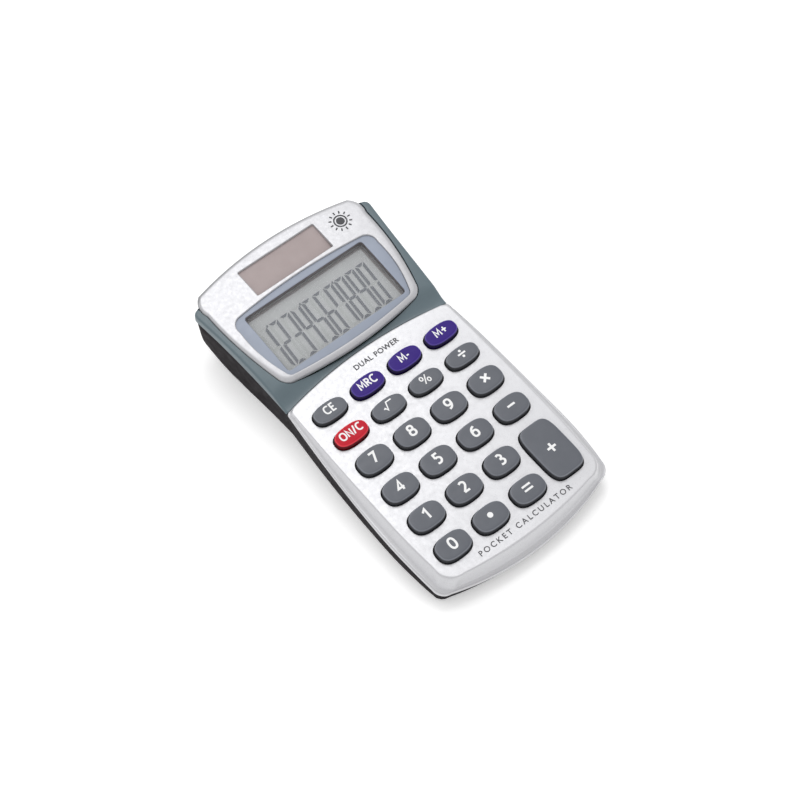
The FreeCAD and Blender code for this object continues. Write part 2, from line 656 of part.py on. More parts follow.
def make_display():
    """Lens, glass, reflector, holder, ribbon and solar cell, all square to the display frame."""
    centre = D["window_centre"]
    film, gap = D["film_thickness"], 0.02
    glass_size = (D["glass_width"], D["glass_depth"])
    glass_top = -D["lens_thickness"] - gap
    glass_low = glass_top - D["glass_thickness"]
    display_slab("lcd_window", LENS_SIZE, -D["lens_thickness"], "Dimensions.lens_thickness", centre)
    display_slab("lcd_glass", glass_size, glass_low, "Dimensions.glass_thickness", centre)
    display_slab("lcd_reflector", (D["glass_width"] - 2, D["glass_depth"] - 5), glass_low - film,
                 "Dimensions.film_thickness", centre)
    cell_low = D["solar_top"] - D["solar_thickness"]
    display_slab("solar_cell", SOLAR_CELL_SIZE, cell_low, "Dimensions.solar_thickness",
                 D["solar_centre"] + SOLAR_CELL_SETBACK)

    rim, depth = 5.0, D["glass_depth"] - 5.0
    holder = prism(rounded_rectangle(D["glass_width"], depth, 0.5, 0, centre), -1.0, 0)
    holder = holder.cut(prism(rounded_rectangle(D["glass_width"] - 2 * rim, depth - rim, 1.0, 0, centre),
                              -2.0, 1.0))
    holder_frame = FreeCAD.Placement(V(0, 0, glass_low - film - gap), FreeCAD.Rotation())
    add_shape("lcd_holder", holder.Solids[0], keypad_frame() * display_frame() * holder_frame)
    make_ribbon(centre - D["glass_depth"] / 2 + 0.2, glass_low)


def make_ribbon(front, top):
    """Heat-sealed ribbon: flat under the glass's front edge, then bent down to the board."""
    thickness, bond, bend, width = 0.2, 0.9, 0.7, 34.0
    drop = 6.0
    edges = []
    for inner in (0.0, thickness):
        radius = bend - inner
        centre = V(0, front + bond, top - bend)
        swing = [centre + V(0, radius * math.sin(a), radius * math.cos(a))
                 for a in (0, math.pi / 4, math.pi / 2)]
        edges += [Part.makeLine(V(0, front, top - inner), swing[0]), Part.Arc(*swing).toShape(),
                  Part.makeLine(swing[2], swing[2] - V(0, 0, drop))]
    edges.append(Part.makeLine(V(0, front, top), V(0, front, top - thickness)))
    edges.append(Part.makeLine(edges[2].Vertexes[1].Point, edges[5].Vertexes[1].Point))
    face = Part.Face(Part.Wire(Part.sortEdges(edges)[0]))
    face.translate(V(-width / 2, 0, 0))
    strip = face.extrude(V(width, 0, 0))
    strip.Placement = display_frame()
    below_board = Part.makeBox(80, 40, 20, V(-40, 0, D["board_top"] - 20))
    add_shape("lcd_ribbon", strip.cut(below_board).Solids[0])


def make_solar_leads():
    """Two straight leads from the back of the solar cell to the board."""
    leads = []
    for x in (-3.0, 3.0):
        y = 41.6
        top = display_frame().multVec(V(x, y - D["display_back"], D["solar_top"] - D["solar_thickness"])).z
        leads.append(cylinder(0.8, D["board_top"], top - 0.05, x, y))
    add_shape("solar_leads", Part.makeCompound(leads))


make_keypad_plate()
make_display_bezel()
make_window_border()
make_front_case()
make_rear_cover()
make_fasteners()
make_battery()
make_board()
make_display()
make_solar_leads()
for key in KEYS:
    make_key(*key)

doc.recompute()
for item in doc.Objects:
    if {"Invalid", "Error"} & set(item.State):
        raise RuntimeError("%s did not rebuild: %s" % (item.Label, item.State))
for piece in pieces:
    if piece.Shape.isNull() or not piece.Shape.isValid():
        raise RuntimeError("%s has no valid shape" % piece.Label)

os.makedirs("parts", exist_ok=True)
for piece in pieces:
    piece.Shape.exportStep("parts/%s.step" % piece.Label)
    box = piece.Shape.optimalBoundingBox()
    print("%-26s y %7.2f..%6.2f  z %6.2f..%6.2f  volume %8.1f  solids %d" % (
        piece.Label, box.YMin, box.YMax, box.ZMin, box.ZMax, piece.Shape.Volume, len(piece.Shape.Solids)))
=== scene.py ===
import json
import math

import bmesh
import bpy
import numpy as np
from mathutils import Matrix, Vector
from mathutils.geometry import delaunay_2d_cdt


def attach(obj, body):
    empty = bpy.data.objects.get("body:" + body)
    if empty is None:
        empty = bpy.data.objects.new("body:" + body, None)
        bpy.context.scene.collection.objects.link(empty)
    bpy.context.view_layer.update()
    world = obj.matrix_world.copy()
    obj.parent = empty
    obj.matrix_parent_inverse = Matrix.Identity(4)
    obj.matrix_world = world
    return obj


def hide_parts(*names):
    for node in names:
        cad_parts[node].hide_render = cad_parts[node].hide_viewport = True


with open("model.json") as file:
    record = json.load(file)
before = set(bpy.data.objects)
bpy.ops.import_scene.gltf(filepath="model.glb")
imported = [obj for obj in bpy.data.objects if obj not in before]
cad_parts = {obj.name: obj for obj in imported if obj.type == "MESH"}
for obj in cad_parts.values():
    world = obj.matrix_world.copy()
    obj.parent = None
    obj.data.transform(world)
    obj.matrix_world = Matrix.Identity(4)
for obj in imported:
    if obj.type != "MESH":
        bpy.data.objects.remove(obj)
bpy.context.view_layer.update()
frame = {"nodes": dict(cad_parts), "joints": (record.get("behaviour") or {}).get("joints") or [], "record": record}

# ---------------------------------------------------------------- driving dimensions, in millimetres

MM = 0.001
SHIFT_BACK, SHIFT_UP = 5.44, 14.9  # the keypad frame's origin in the row frame
PRESS_AXIS = frame["joints"][0]["axis"]
LEAN = math.atan2(PRESS_AXIS[1], -PRESS_AXIS[2])
DISPLAY_LEAN = math.radians(4.5)
DISPLAY_BACK, DISPLAY_UP = 17.0, 0.1  # the display frame's origin in the keypad frame

PLATE_TOP = 0.3
KEY_TOP = 2.15
KEY_GAP = 0.25
COLUMNS = [-20.25, -6.75, 6.75, 20.25]
ROWS = [0.1, -9.25, -19.4, -30.5, -41.6, -52.6]
KEY_ROWS = ["clear_entry memory_recall memory_minus memory_plus", "on_clear root percent divide",
            "7 8 9 times", "4 5 6 minus", "1 2 3", "0 decimal equals"]
FUNCTION_KEY = (10.75, 5.9, 2.6)  # width, depth, squareness of the plan
DIGIT_KEY = (10.75, 7.45, 2.7)
PLUS_KEY = (11.3, 18.4, 4.4)
PLUS_PLACE = (20.25, -47.1)
WINDOW = (42.9, 20.7)
WINDOW_CENTRE = 10.4
SOLAR_WINDOW = (27.5, 9.6)
SOLAR_CENTRE = 28.9

KEYPAD = (Matrix.Scale(MM, 4) @ Matrix.Translation((0, SHIFT_BACK, SHIFT_UP))
          @ Matrix.Rotation(LEAN, 4, "X"))
DISPLAY = (KEYPAD @ Matrix.Translation((0, DISPLAY_BACK, DISPLAY_UP))
           @ Matrix.Rotation(DISPLAY_LEAN, 4, "X"))
KEYPAD_UP = (0, -math.sin(LEAN), math.cos(LEAN))
KEYPAD_LEVEL = SHIFT_UP * math.cos(LEAN) - SHIFT_BACK * math.sin(LEAN)


# ---------------------------------------------------------------- plane outlines

def arc_points(start, middle, end, step=0.7, count=None):
    """Points along the circle through three points, without the last one."""
    a, b, c = (np.array(p, float) for p in (start, middle, end))
    d = 2 * (a[0] * (b[1] - c[1]) + b[0] * (c[1] - a[1]) + c[0] * (a[1] - b[1]))
    sq = [p @ p for p in (a, b, c)]
    centre = np.array([
        (sq[0] * (b[1] - c[1]) + sq[1] * (c[1] - a[1]) + sq[2] * (a[1] - b[1])) / d,
        (sq[0] * (c[0] - b[0]) + sq[1] * (a[0] - c[0]) + sq[2] * (b[0] - a[0])) / d])
    radius = np.linalg.norm(a - centre)
    angles = [math.atan2(*(p - centre)[::-1]) for p in (a, b, c)]
    turn = (angles[2] - angles[0]) % (2 * math.pi)
    if (angles[1] - angles[0]) % (2 * math.pi) > turn:
        turn -= 2 * math.pi
    count = count or max(3, int(abs(turn) * radius / step))
    swing = angles[0] + turn * np.arange(count) / count
    return centre + radius * np.stack([np.cos(swing), np.sin(swing)], 1)


def mirrored_outline(right_arcs, bottom_mid, top_mid, counts=None):
    """Closed loop, anticlockwise, from the right side's arcs, their mirror images and the two ends."""
    first, last = right_arcs[0][0], right_arcs[-1][2]
    arcs = [((-first[0], first[1]), bottom_mid, first)] + list(right_arcs)
    arcs.append((last, top_mid, (-last[0], last[1])))
    arcs += [[(-x, y) for x, y in reversed(arc)] for arc in reversed(right_arcs)]
    return np.concatenate([arc_points(*arc, count=n) for arc, n in zip(arcs, counts or [None] * len(arcs))])


CASE_SIDE = [((27.6, -61.1), (30.1, -59.9), (31.15, -57.2)),
             ((31.15, -57.2), (31.85, -50.0), (32.2, -41.0))]
CASE_FLANK = CASE_SIDE + [((32.2, -41.0), (31.35, -16.0), (29.4, 7.5))]
CASE_FRONT, CASE_BACK = (0, -65.6), (0, 54.1)
CASE_PLAN = mirrored_outline(
    CASE_FLANK + [((29.4, 7.5), (30.1, 26.0), (31.85, 45.8)),
                  ((31.85, 45.8), (31.5, 47.4), (30.1, 48.2))],
    CASE_FRONT, CASE_BACK)
PLATE_COUNTS = [80, 10, 24, 60, 6, 80, 6, 60, 24, 10]
PLATE_PLAN = mirrored_outline(
    CASE_SIDE + [((32.2, -41.0), (31.35, -16.0), (29.45, 6.9)),
                 ((29.45, 6.9), (29.3, 7.6), (28.7, 7.95))],
    CASE_FRONT, (0, 11.2), PLATE_COUNTS)
PLATEAU_PLAN = mirrored_outline(
    [((22.6, -60.4), (26.9, -58.6), (28.2, -54.2)),
     ((28.2, -54.2), (28.65, -47.0), (28.9, -40.0)),
     ((28.9, -40.0), (28.95, -18.0), (28.5, 4.6)),
     ((28.5, 4.6), (28.2, 6.6), (26.6, 7.8))],
    (0, -62.4), (0, 10.4), PLATE_COUNTS)
BEZEL_PLAN = mirrored_outline(
    [((21.2, 13.9), (24.4, 15.2), (25.6, 17.6)),
     ((25.6, 17.6), (28.2, 30.0), (29.15, 44.5)),
     ((29.15, 44.5), (29.0, 49.2), (27.2, 51.4))],
    (0, 12.2), (0, 54.8))
BORDER_PLAN = mirrored_outline(
    [((20.3, 15.4), (21.9, 15.9), (22.6, 17.2)),
     ((22.6, 17.2), (24.6, 24.5), (25.1, 34.5)),
     ((25.1, 34.5), (24.6, 37.4), (22.7, 38.7))],
    (0, 14.1), (0, 40.0))


def offset(loop, distance):
    """The loop moved inwards by a distance (outwards if it is negative)."""
    ahead = np.roll(loop, -1, 0) - loop
    behind = loop - np.roll(loop, 1, 0)
    ahead /= np.linalg.norm(ahead, axis=1)[:, None]
    behind /= np.linalg.norm(behind, axis=1)[:, None]
    tangent = ahead + behind
    tangent /= np.linalg.norm(tangent, axis=1)[:, None]
    inward = np.stack([-tangent[:, 1], tangent[:, 0]], 1)
    stretch = np.maximum(0.5, np.sum(inward * np.stack([-ahead[:, 1], ahead[:, 0]], 1), 1))
    return loop + inward * (distance / stretch)[:, None]


BATCH = 2000  # points measured at a time


def distance_to(points, loop):
    """Distance from each point to a closed loop."""
    points = np.asarray(points, float)
    a, b = loop, np.roll(loop, -1, 0)
    run = b - a
    length = np.sum(run * run, 1)
    best = np.full(len(points), 1e9)
    for start in range(0, len(points), BATCH):
        p = points[start:start + BATCH, None, :]
        t = np.clip(np.sum((p - a) * run, 2) / length, 0, 1)
        gap = p - (a + t[..., None] * run)
        best[start:start + BATCH] = np.sqrt(np.sum(gap * gap, 2)).min(1)
    return best


def inside(points, loop):
    """Whether each point is inside a closed loop."""
    points = np.asarray(points, float)
    a, b = loop, np.roll(loop, -1, 0)
    x, y = points[:, 0, None], points[:, 1, None]
    spans = (a[:, 1] > y) != (b[:, 1] > y)
    rise = np.where(b[:, 1] == a[:, 1], 1e-9, b[:, 1] - a[:, 1])
    crossing = (b[:, 0] - a[:, 0]) * (y - a[:, 1]) / rise + a[:, 0]
    return (np.sum(spans & (x < crossing), 1) % 2) == 1


def depth_in(x, y, loop):
    """Distance in from a closed loop, and nothing outside it."""
    points = np.stack([x, y], 1)
    return np.where(inside(points, loop), distance_to(points, loop), 0.0)


def rounded_loop(width, depth, corner, centre=(0.0, 0.0), per_corner=12, per_side=6):
    """Rounded rectangle, anticlockwise."""
    a, b = width / 2, depth / 2
    points = []
    for quarter, (sx, sy) in enumerate(((1, 1), (-1, 1), (-1, -1), (1, -1))):
        for i in range(per_corner):
            angle = math.pi / 2 * (quarter + i / per_corner)
            points.append((sx * (a - corner) + corner * math.cos(angle),
                           sy * (b - corner) + corner * math.sin(angle)))
        half = (a if quarter % 2 == 0 else b) - corner
        for i in range(per_side):
            run = half * (1 - 2 * i / per_side)
            points.append([(run, b), (-a, run), (-run, -b), (a, -run)][quarter])
    return np.array(points) + np.array(centre)


def circle_loop(radius, centre, count=40):
    angles = 2 * math.pi * np.arange(count) / count
    return np.stack([np.cos(angles), np.sin(angles)], 1) * radius + np.array(centre)


def smooth_step(t):
    t = np.clip(t, 0, 1)
    return t * t * (3 - 2 * t)


def quarter_round(depth, reach):
    """Share of a rounded edge's fall at a distance in from the edge."""
    t = np.clip(1 - depth / reach, 0, 1)
    return 1 - np.sqrt(np.clip(1 - t * t, 0, 1))


# ---------------------------------------------------------------- heights over the keypad frame

def curve_through(pairs):
    """Smooth interpolation through (position, value) pairs."""
    xs, ys = np.array(pairs, float).T
    slope = np.gradient(ys, xs)

    def at(x):
        x = np.clip(np.asarray(x, float), xs[0], xs[-1])
        i = np.clip(np.searchsorted(xs, x) - 1, 0, len(xs) - 2)
        span = xs[i + 1] - xs[i]
        t = (x - xs[i]) / span
        return ((2 * t**3 - 3 * t**2 + 1) * ys[i] + (t**3 - 2 * t**2 + t) * span * slope[i]
                + (3 * t**2 - 2 * t**3) * ys[i + 1] + (t**3 - t**2) * span * slope[i + 1])
    return at


parting_height = curve_through([
    (-70, -7.4), (-60, -5.6), (-50, -4.4), (-35, -4.1), (-20, -3.5), (-5, -2.6), (8, -1.9), (22, -0.6),
    (38, 0.7), (60, 1.5)])
shoulder_height = curve_through([
    (4, -1.4), (8, -0.5), (12, 0.6), (18, 1.7), (28, 2.9), (38, 3.5), (60, 3.9)])
bezel_height = curve_through([(8, 0.9), (14, 1.9), (22, 2.9), (32, 3.8), (44, 4.25), (60, 4.35)])
plate_edge_height = curve_through([
    (-66, -5.5), (-62, -4.9), (-57, -4.1), (-50, -3.5), (-40, -3.2), (-28, -3.1), (-20, -2.7), (-12, -2.1),
    (-5, -1.5), (2, -1.15), (12, -1.1)])


# ---------------------------------------------------------------- mesh building

def new_object(name, data):
    made = bpy.data.objects.new(name, data)
    bpy.context.scene.collection.objects.link(made)
    return made


def flat_object(name, bm, matrix, material):
    """Object in the row frame, with its faces as they are."""
    mesh = bpy.data.meshes.new(name)
    bm.to_mesh(mesh)
    bm.free()
    mesh.transform(matrix)
    mesh.materials.append(material)
    return new_object(name, mesh)


def mesh_object(name, bm, matrix, material, sharp):
    """Object in the row frame, smooth apart from its sharp edges."""
    bmesh.ops.recalc_face_normals(bm, faces=bm.faces)
    made = flat_object(name, bm, matrix, material)
    made.data.shade_smooth()
    made.data.set_sharp_from_angle(angle=math.radians(sharp))
    return made


ROW_PITCH = 0.87  # of the spacing, between staggered rows
CLEAR_OF_EDGE, CLEAR_OF_HOLE = 0.5, 0.4  # of the spacing, kept free of grid points


def spread_points(low, high, spacing):
    """Staggered grid of points over a rectangle."""
    points = []
    for row, y in enumerate(np.arange(low[1], high[1], spacing * ROW_PITCH)):
        shift = spacing / 2 * (row % 2)
        points += [(x + shift, y) for x in np.arange(low[0], high[0], spacing)]
    return np.array(points)


def add_surface(bm, outer, insets, holes, spacing, height, hole_steps=(0.0,)):
    """Triangulated surface z = height(x, y) over an outline with holes.

    Returns the rings of vertices of the outline and of each hole."""
    loops = [outer] + [offset(outer, d) for d in insets]
    hole_loops = []
    for hole in holes:
        for step in hole_steps:
            hole_loops.append(offset(hole, -step) if step else hole)
    grid = spread_points(outer.min(0), outer.max(0), spacing)
    grid = grid[inside(grid, loops[-1])]
    grid = grid[distance_to(grid, loops[-1]) > spacing * CLEAR_OF_EDGE]
    for hole in holes:
        wide = offset(hole, -hole_steps[-1]) if hole_steps[-1] else hole
        grid = grid[~inside(grid, wide)]
        if len(grid):
            grid = grid[distance_to(grid, wide) > spacing * CLEAR_OF_HOLE]
    points, edges = [], []
    for loop in loops + hole_loops:
        base = len(points)
        points += [tuple(p) for p in loop]
        edges += [(base + i, base + (i + 1) % len(loop)) for i in range(len(loop))]
    points += [tuple(p) for p in grid]
    coords, _, faces, originals, _, _ = delaunay_2d_cdt([Vector(p) for p in points], edges, [], 0, 1e-6)
    flat = np.array([tuple(c) for c in coords])
    centres = np.array([flat[list(face)].mean(0) for face in faces])
    kept = inside(centres, outer)
    for hole in holes:
        kept &= ~inside(centres, hole)
    heights = height(flat[:, 0], flat[:, 1])
    verts = [bm.verts.new((x, y, z)) for (x, y), z in zip(flat, heights)]
    for face, keep in zip(faces, kept):
        if keep:
            bm.faces.new([verts[i] for i in face])
    where = {}
    for new, olds in enumerate(originals):
        for old in olds:
            where[old] = verts[new]
    outer_ring = [where[i] for i in range(len(outer))]
    rings = []
    base = len(outer) * (1 + len(insets))
    for hole in holes:
        rings.append([where[base + i] for i in range(len(hole))])
        base += len(hole) * len(hole_steps)
    return outer_ring, rings


def lift(loop, heights):
    """3-D points over a flat loop, at one height or at a height each."""
    return [(x, y, z) for (x, y), z in zip(loop, np.broadcast_to(heights, len(loop)))]


def heights_of(ring):
    return np.array([vert.co.z for vert in ring])


def add_wall(bm, ring, steps):
    """Wall that leaves a ring of vertices; each step gives a flat loop and its heights."""
    last = ring
    for flat, heights in steps:
        fresh = [bm.verts.new(point) for point in lift(flat, heights)]
        for i in range(len(fresh)):
            j = (i + 1) % len(fresh)
            bm.faces.new((last[i], last[j], fresh[j], fresh[i]))
        last = fresh
    return last


def drop_loose(bm):
    """Removes vertices that no face uses."""
    loose = [v for v in bm.verts if not v.link_faces]
    bmesh.ops.delete(bm, geom=loose, context="VERTS")


def add_rings(bm, rings, cap=True):
    """Skin over a stack of equal rings of 3-D points, closed by a point in the middle of the last."""
    made = [[bm.verts.new(p) for p in ring] for ring in rings]
    for lower, upper in zip(made, made[1:]):
        for i in range(len(lower)):
            j = (i + 1) % len(lower)
            bm.faces.new((lower[i], lower[j], upper[j], upper[i]))
    if cap:
        middle = bm.verts.new(np.mean([v.co for v in made[-1]], 0))
        for i in range(len(made[-1])):
            bm.faces.new((made[-1][i], made[-1][(i + 1) % len(made[-1])], middle))
    return made


# ---------------------------------------------------------------- materials

MIX_FACTOR, MIX_FIRST, MIX_SECOND, MIX_RESULT = 0, 6, 7, 2  # sockets of a colour mix
MOTTLE_SCALE, GLOSS_SCALE = 180.0, 400.0
LCD_SPECULAR = 0.3


def fill(node, values):
    for name, value in values.items():
        node.inputs[name].default_value = value


class Finish:
    """Procedural material: colour variation, roughness variation and grain from 3-D noise."""

    def __init__(self, name, color, roughness, metallic=0.0, coat=0.0, alpha=1.0, specular=0.5):
        self.material = bpy.data.materials.new(name)
        self.material.use_nodes = True
        self.nodes = self.material.node_tree.nodes
        self.links = self.material.node_tree.links
        self.shader = self.nodes["Principled BSDF"]
        fill(self.shader, {"Base Color": (*color, 1), "Roughness": roughness, "Metallic": metallic,
                           "Coat Weight": coat, "Coat Roughness": 0.12, "Specular IOR Level": specular,
                           "Alpha": alpha})
        self.color = color
        where = self.nodes.new("ShaderNodeTexCoord")
        self.place, self.normal = where.outputs["Object"], where.outputs["Normal"]

    def noise(self, scale, detail=3.0, rough=0.55):
        node = self.nodes.new("ShaderNodeTexNoise")
        fill(node, {"Scale": scale, "Detail": detail, "Roughness": rough})
        self.links.new(self.place, node.inputs["Vector"])
        return node.outputs["Fac"]

    def ramp(self, source, low, high, at_low, at_high):
        node = self.nodes.new("ShaderNodeMapRange")
        fill(node, {"From Min": low, "From Max": high, "To Min": at_low, "To Max": at_high})
        self.links.new(source, node.inputs["Value"])
        return node.outputs["Result"]

    def mix_in(self, factor, color):
        """Colour mixed in by a factor; the mix becomes the tint. Returns the socket for the other colour."""
        mix = self.nodes.new("ShaderNodeMix")
        mix.data_type = "RGBA"
        self.links.new(factor, mix.inputs[MIX_FACTOR])
        mix.inputs[MIX_SECOND].default_value = (*color, 1)
        self.tint = mix.outputs[MIX_RESULT]
        self.links.new(self.tint, self.shader.inputs["Base Color"])
        return mix.inputs[MIX_FIRST]

    def mottle(self, scale, amount, detail=4.0):
        """Colour drifts a little lighter and darker."""
        lighter = [min(1, c * (1 + amount)) for c in self.color]
        ground = self.mix_in(self.ramp(self.noise(scale, detail), 0.35, 0.65, 0, 1), lighter)
        ground.default_value = (*[c * (1 - amount) for c in self.color], 1)
        return self

    def speckle(self, scale, color, low=0.6, high=0.72):
        """Fine flecks of another colour over the mottle."""
        return self.blend(self.ramp(self.noise(scale, 1.0), low, high, 0, 1), color)

    def along(self, source, direction):
        """How far a vector reaches along a direction."""
        node = self.nodes.new("ShaderNodeVectorMath")
        node.operation = "DOT_PRODUCT"
        self.links.new(source, node.inputs[0])
        node.inputs[1].default_value = direction
        return node.outputs["Value"]

    def blend(self, factor, color):
        """Another colour laid over the tint by a factor."""
        tint = self.tint
        self.links.new(tint, self.mix_in(factor, color))
        return self

    def gloss_range(self, scale, low, high):
        self.links.new(self.ramp(self.noise(scale), 0.3, 0.7, low, high), self.shader.inputs["Roughness"])
        return self

    def grain(self, scale, depth, detail=2.0):
        """Surface grain; depth is in millimetres."""
        bump = self.nodes.new("ShaderNodeBump")
        fill(bump, {"Strength": 1.0, "Distance": depth * MM})
        self.links.new(self.noise(scale, detail), bump.inputs["Height"])
        self.links.new(bump.outputs["Normal"], self.shader.inputs["Normal"])
        return self


def plastic(name, color, roughness, grain=0.006, scale=3500.0, mottle=0.03, **more):
    finish = Finish(name, color, roughness, **more)
    finish.mottle(MOTTLE_SCALE, mottle)
    finish.gloss_range(GLOSS_SCALE, roughness * 0.88, min(1.0, roughness * 1.12))
    return finish.grain(scale, grain).material


def silver_lacquer(name, level, back_shade=0.0):
    """Silver paint with fine flecks; edges that face backwards may get painted shade, darker the more they face
    back.
    """
    finish = Finish(name, (level, level, level + 0.02), 0.34, metallic=0.4, coat=0.2)
    finish.mottle(25.0, 0.012).speckle(5200.0, (level * 0.78, level * 0.78, level * 0.8), 0.58, 0.74)
    # painted shade: surfaces turned backwards are blended towards dark grey by their normal
    facing = finish.along(finish.normal, (-0.35, 0.90, 0.25))
    finish.blend(finish.ramp(facing, 0.35, 0.8, 0, back_shade), (0.10, 0.105, 0.11))
    return finish.gloss_range(900.0, 0.28, 0.40).grain(4200.0, 0.004).material


def key_plastic(name, color, specular=0.5):
    """Key finish: painted shade on the side, a painted highlight as a paler line round the shoulder, and the plain
    top.
    """
    finish = Finish(name, color, 0.42, specular=specular)
    finish.mottle(MOTTLE_SCALE, 0.03).gloss_range(GLOSS_SCALE, 0.37, 0.47).grain(3500.0, 0.004)
    height = finish.along(finish.place, KEYPAD_UP)
    # painted highlight in a paler band just under the top, painted shade in a darker band down the side, both set
    # by height
    for low, high, painted_tone in ((-0.11, -0.06, [c * 1.4 + 0.05 for c in color]),
                            (-0.48, -0.33, [c * 0.25 for c in color])):
        start, end = ((KEYPAD_LEVEL + KEY_TOP + edge) * MM for edge in (low, high))
        finish.blend(finish.ramp(height, start, end, 1, 0), painted_tone)
    return finish.material


SILVER = silver_lacquer("silver_lacquer", 0.585)
# the head frame gets painted shade on its backward-facing edges
FRAME_SILVER = silver_lacquer("frame_lacquer", 0.51, 0.85)
SLATE = plastic("slate_plastic", (0.105, 0.145, 0.165), 0.42, grain=0.004, coat=0.1)
DARK = plastic("charcoal_plastic", (0.010, 0.0075, 0.0095), 0.6, specular=0.05, grain=0.012, scale=2200.0)
BORDER = plastic("border_blue_grey", (0.275, 0.31, 0.385), 0.4, grain=0.003, coat=0.1)
WELL = plastic("window_wall", (0.17, 0.155, 0.16), 0.6)
KEY_GREY = key_plastic("key_grey", (0.094, 0.102, 0.122))
KEY_PURPLE = key_plastic("key_purple", (0.030, 0.008, 0.185), 0.2)
KEY_RED = key_plastic("key_red", (0.50, 0.003, 0.018), 0.2)
WHITE_PRINT = plastic("white_print", (0.86, 0.86, 0.86), 0.55)
GREY_PRINT = plastic("grey_print", (0.045, 0.045, 0.052), 0.5)
LCD = plastic("lcd_ground", (0.37, 0.38, 0.39), 0.5, grain=0.0, specular=0.35)
SEGMENT = plastic("lcd_segment", (0.085, 0.094, 0.118), 0.5, grain=0.0, specular=LCD_SPECULAR)
GHOST = plastic("lcd_ghost", (0.335, 0.35, 0.352), 0.5, grain=0.0, specular=LCD_SPECULAR)
SHADE = plastic("lcd_shadow", (0.30, 0.31, 0.315), 0.5, grain=0.0, specular=LCD_SPECULAR)
# painted shade in a band along the window's inner edge, where the frame shades the display
EDGE_SHADE = plastic("lcd_edge_shade", (0.21, 0.195, 0.20), 0.5, grain=0.0, specular=LCD_SPECULAR)
SOLAR = plastic("solar_cell", (0.35, 0.285, 0.28), 0.4, grain=0.0, mottle=0.02)
LENS = plastic("clear_lens", (0.9, 0.92, 0.92), 0.08, grain=0.0, alpha=0.06)
RUBBER = plastic("foot_rubber", (0.02, 0.02, 0.021), 0.75, grain=0.02)
STEEL = plastic("plated_steel", (0.55, 0.55, 0.56), 0.3, metallic=1.0)
BOARD = plastic("board_mask", (0.02, 0.12, 0.05), 0.35)
BLACK = plastic("black_plastic", (0.015, 0.015, 0.016), 0.5)
SILICONE = plastic("mat_silicone", (0.55, 0.55, 0.53), 0.5)
FILM = plastic("ribbon_film", (0.25, 0.14, 0.04), 0.3)
LEAD = plastic("lead_sleeve", (0.35, 0.02, 0.02), 0.4)
CAN = plastic("capacitor_can", (0.03, 0.04, 0.16), 0.3)
REFLECTOR = plastic("reflector_film", (0.5, 0.52, 0.5), 0.4, metallic=0.5)

CAD_FINISHES = {
    "dark_plastic": DARK, "slate_plastic": SLATE, "silver_finish": SILVER, "border_plastic": BORDER,
    "clear_lens": LENS, "display_glass": LCD, "reflector_film": REFLECTOR, "ribbon_film": FILM,
    "solar_glass": SOLAR, "lead_insulation": LEAD, "board_laminate": BOARD, "black_plastic": BLACK,
    "capacitor_can": CAN, "mat_rubber": SILICONE, "bright_steel": STEEL, "foot_rubber": RUBBER,
    "grey_keys": KEY_GREY, "purple_keys": KEY_PURPLE, "red_key": KEY_RED,
}


def finish_cad_nodes():
    """Every carried-over CAD node gets the finish of its material slot."""
    for part in frame["record"]["subparts"]:
        node = frame["nodes"][part["node"]]
        node.data.materials.clear()
        node.data.materials.append(CAD_FINISHES[part["material_slot"]])


def settle(piece, body, slot, *nodes):
    """Rides on a body and stands for CAD nodes, which it hides; the slot is not used."""
    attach(piece, body)
    if nodes:
        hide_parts(*nodes)
    return piece


# ---------------------------------------------------------------- keys

def key_list():
    """Name, place and size of every key."""
    found = []
    for row, names in enumerate(KEY_ROWS):
        size = FUNCTION_KEY if row < 2 else DIGIT_KEY
        found += [("key_" + name, (COLUMNS[column], ROWS[row]), size)
                  for column, name in enumerate(names.split())]
    found.append(("key_plus", PLUS_PLACE, PLUS_KEY))
    return found


KEYS = key_list()
KEY_SIDES = 72
FLANGE_LIP, FLANGE_TOP, FLANGE_LOW = 0.6, -3.15, -3.95  # the hidden flange round a key's foot
KEY_DRAFT, KEY_SHOULDER, SHOULDER_STEPS = 0.12, 0.42, 6
KEY_SINK, KEY_CROWN = 0.02, 0.05
KEY_MATERIALS = {"key_on_clear": (KEY_RED, "red_key")}
for purple in ("key_memory_recall", "key_memory_minus", "key_memory_plus"):
    KEY_MATERIALS[purple] = (KEY_PURPLE, "purple_keys")


def key_loop(size, grow=0.0, place=(0.0, 0.0)):
    """Plan of a key: an oval squared off by its power."""
    width, depth, power = size
    angles = 2 * math.pi * np.arange(KEY_SIDES) / KEY_SIDES
    c, s = np.cos(angles), np.sin(angles)
    radius = (np.abs(c)**power + np.abs(s)**power)**(-1 / power)
    loop = np.stack([c * radius * width / 2, s * radius * depth / 2], 1) + np.array(place)
    return offset(loop, -grow) if grow else loop


def key_crown(size, x, y):
    """Height of a key's nearly flat top."""
    return KEY_TOP - KEY_SINK - KEY_CROWN * ((2 * x / size[0])**2 + (2 * y / size[1])**2) / 2


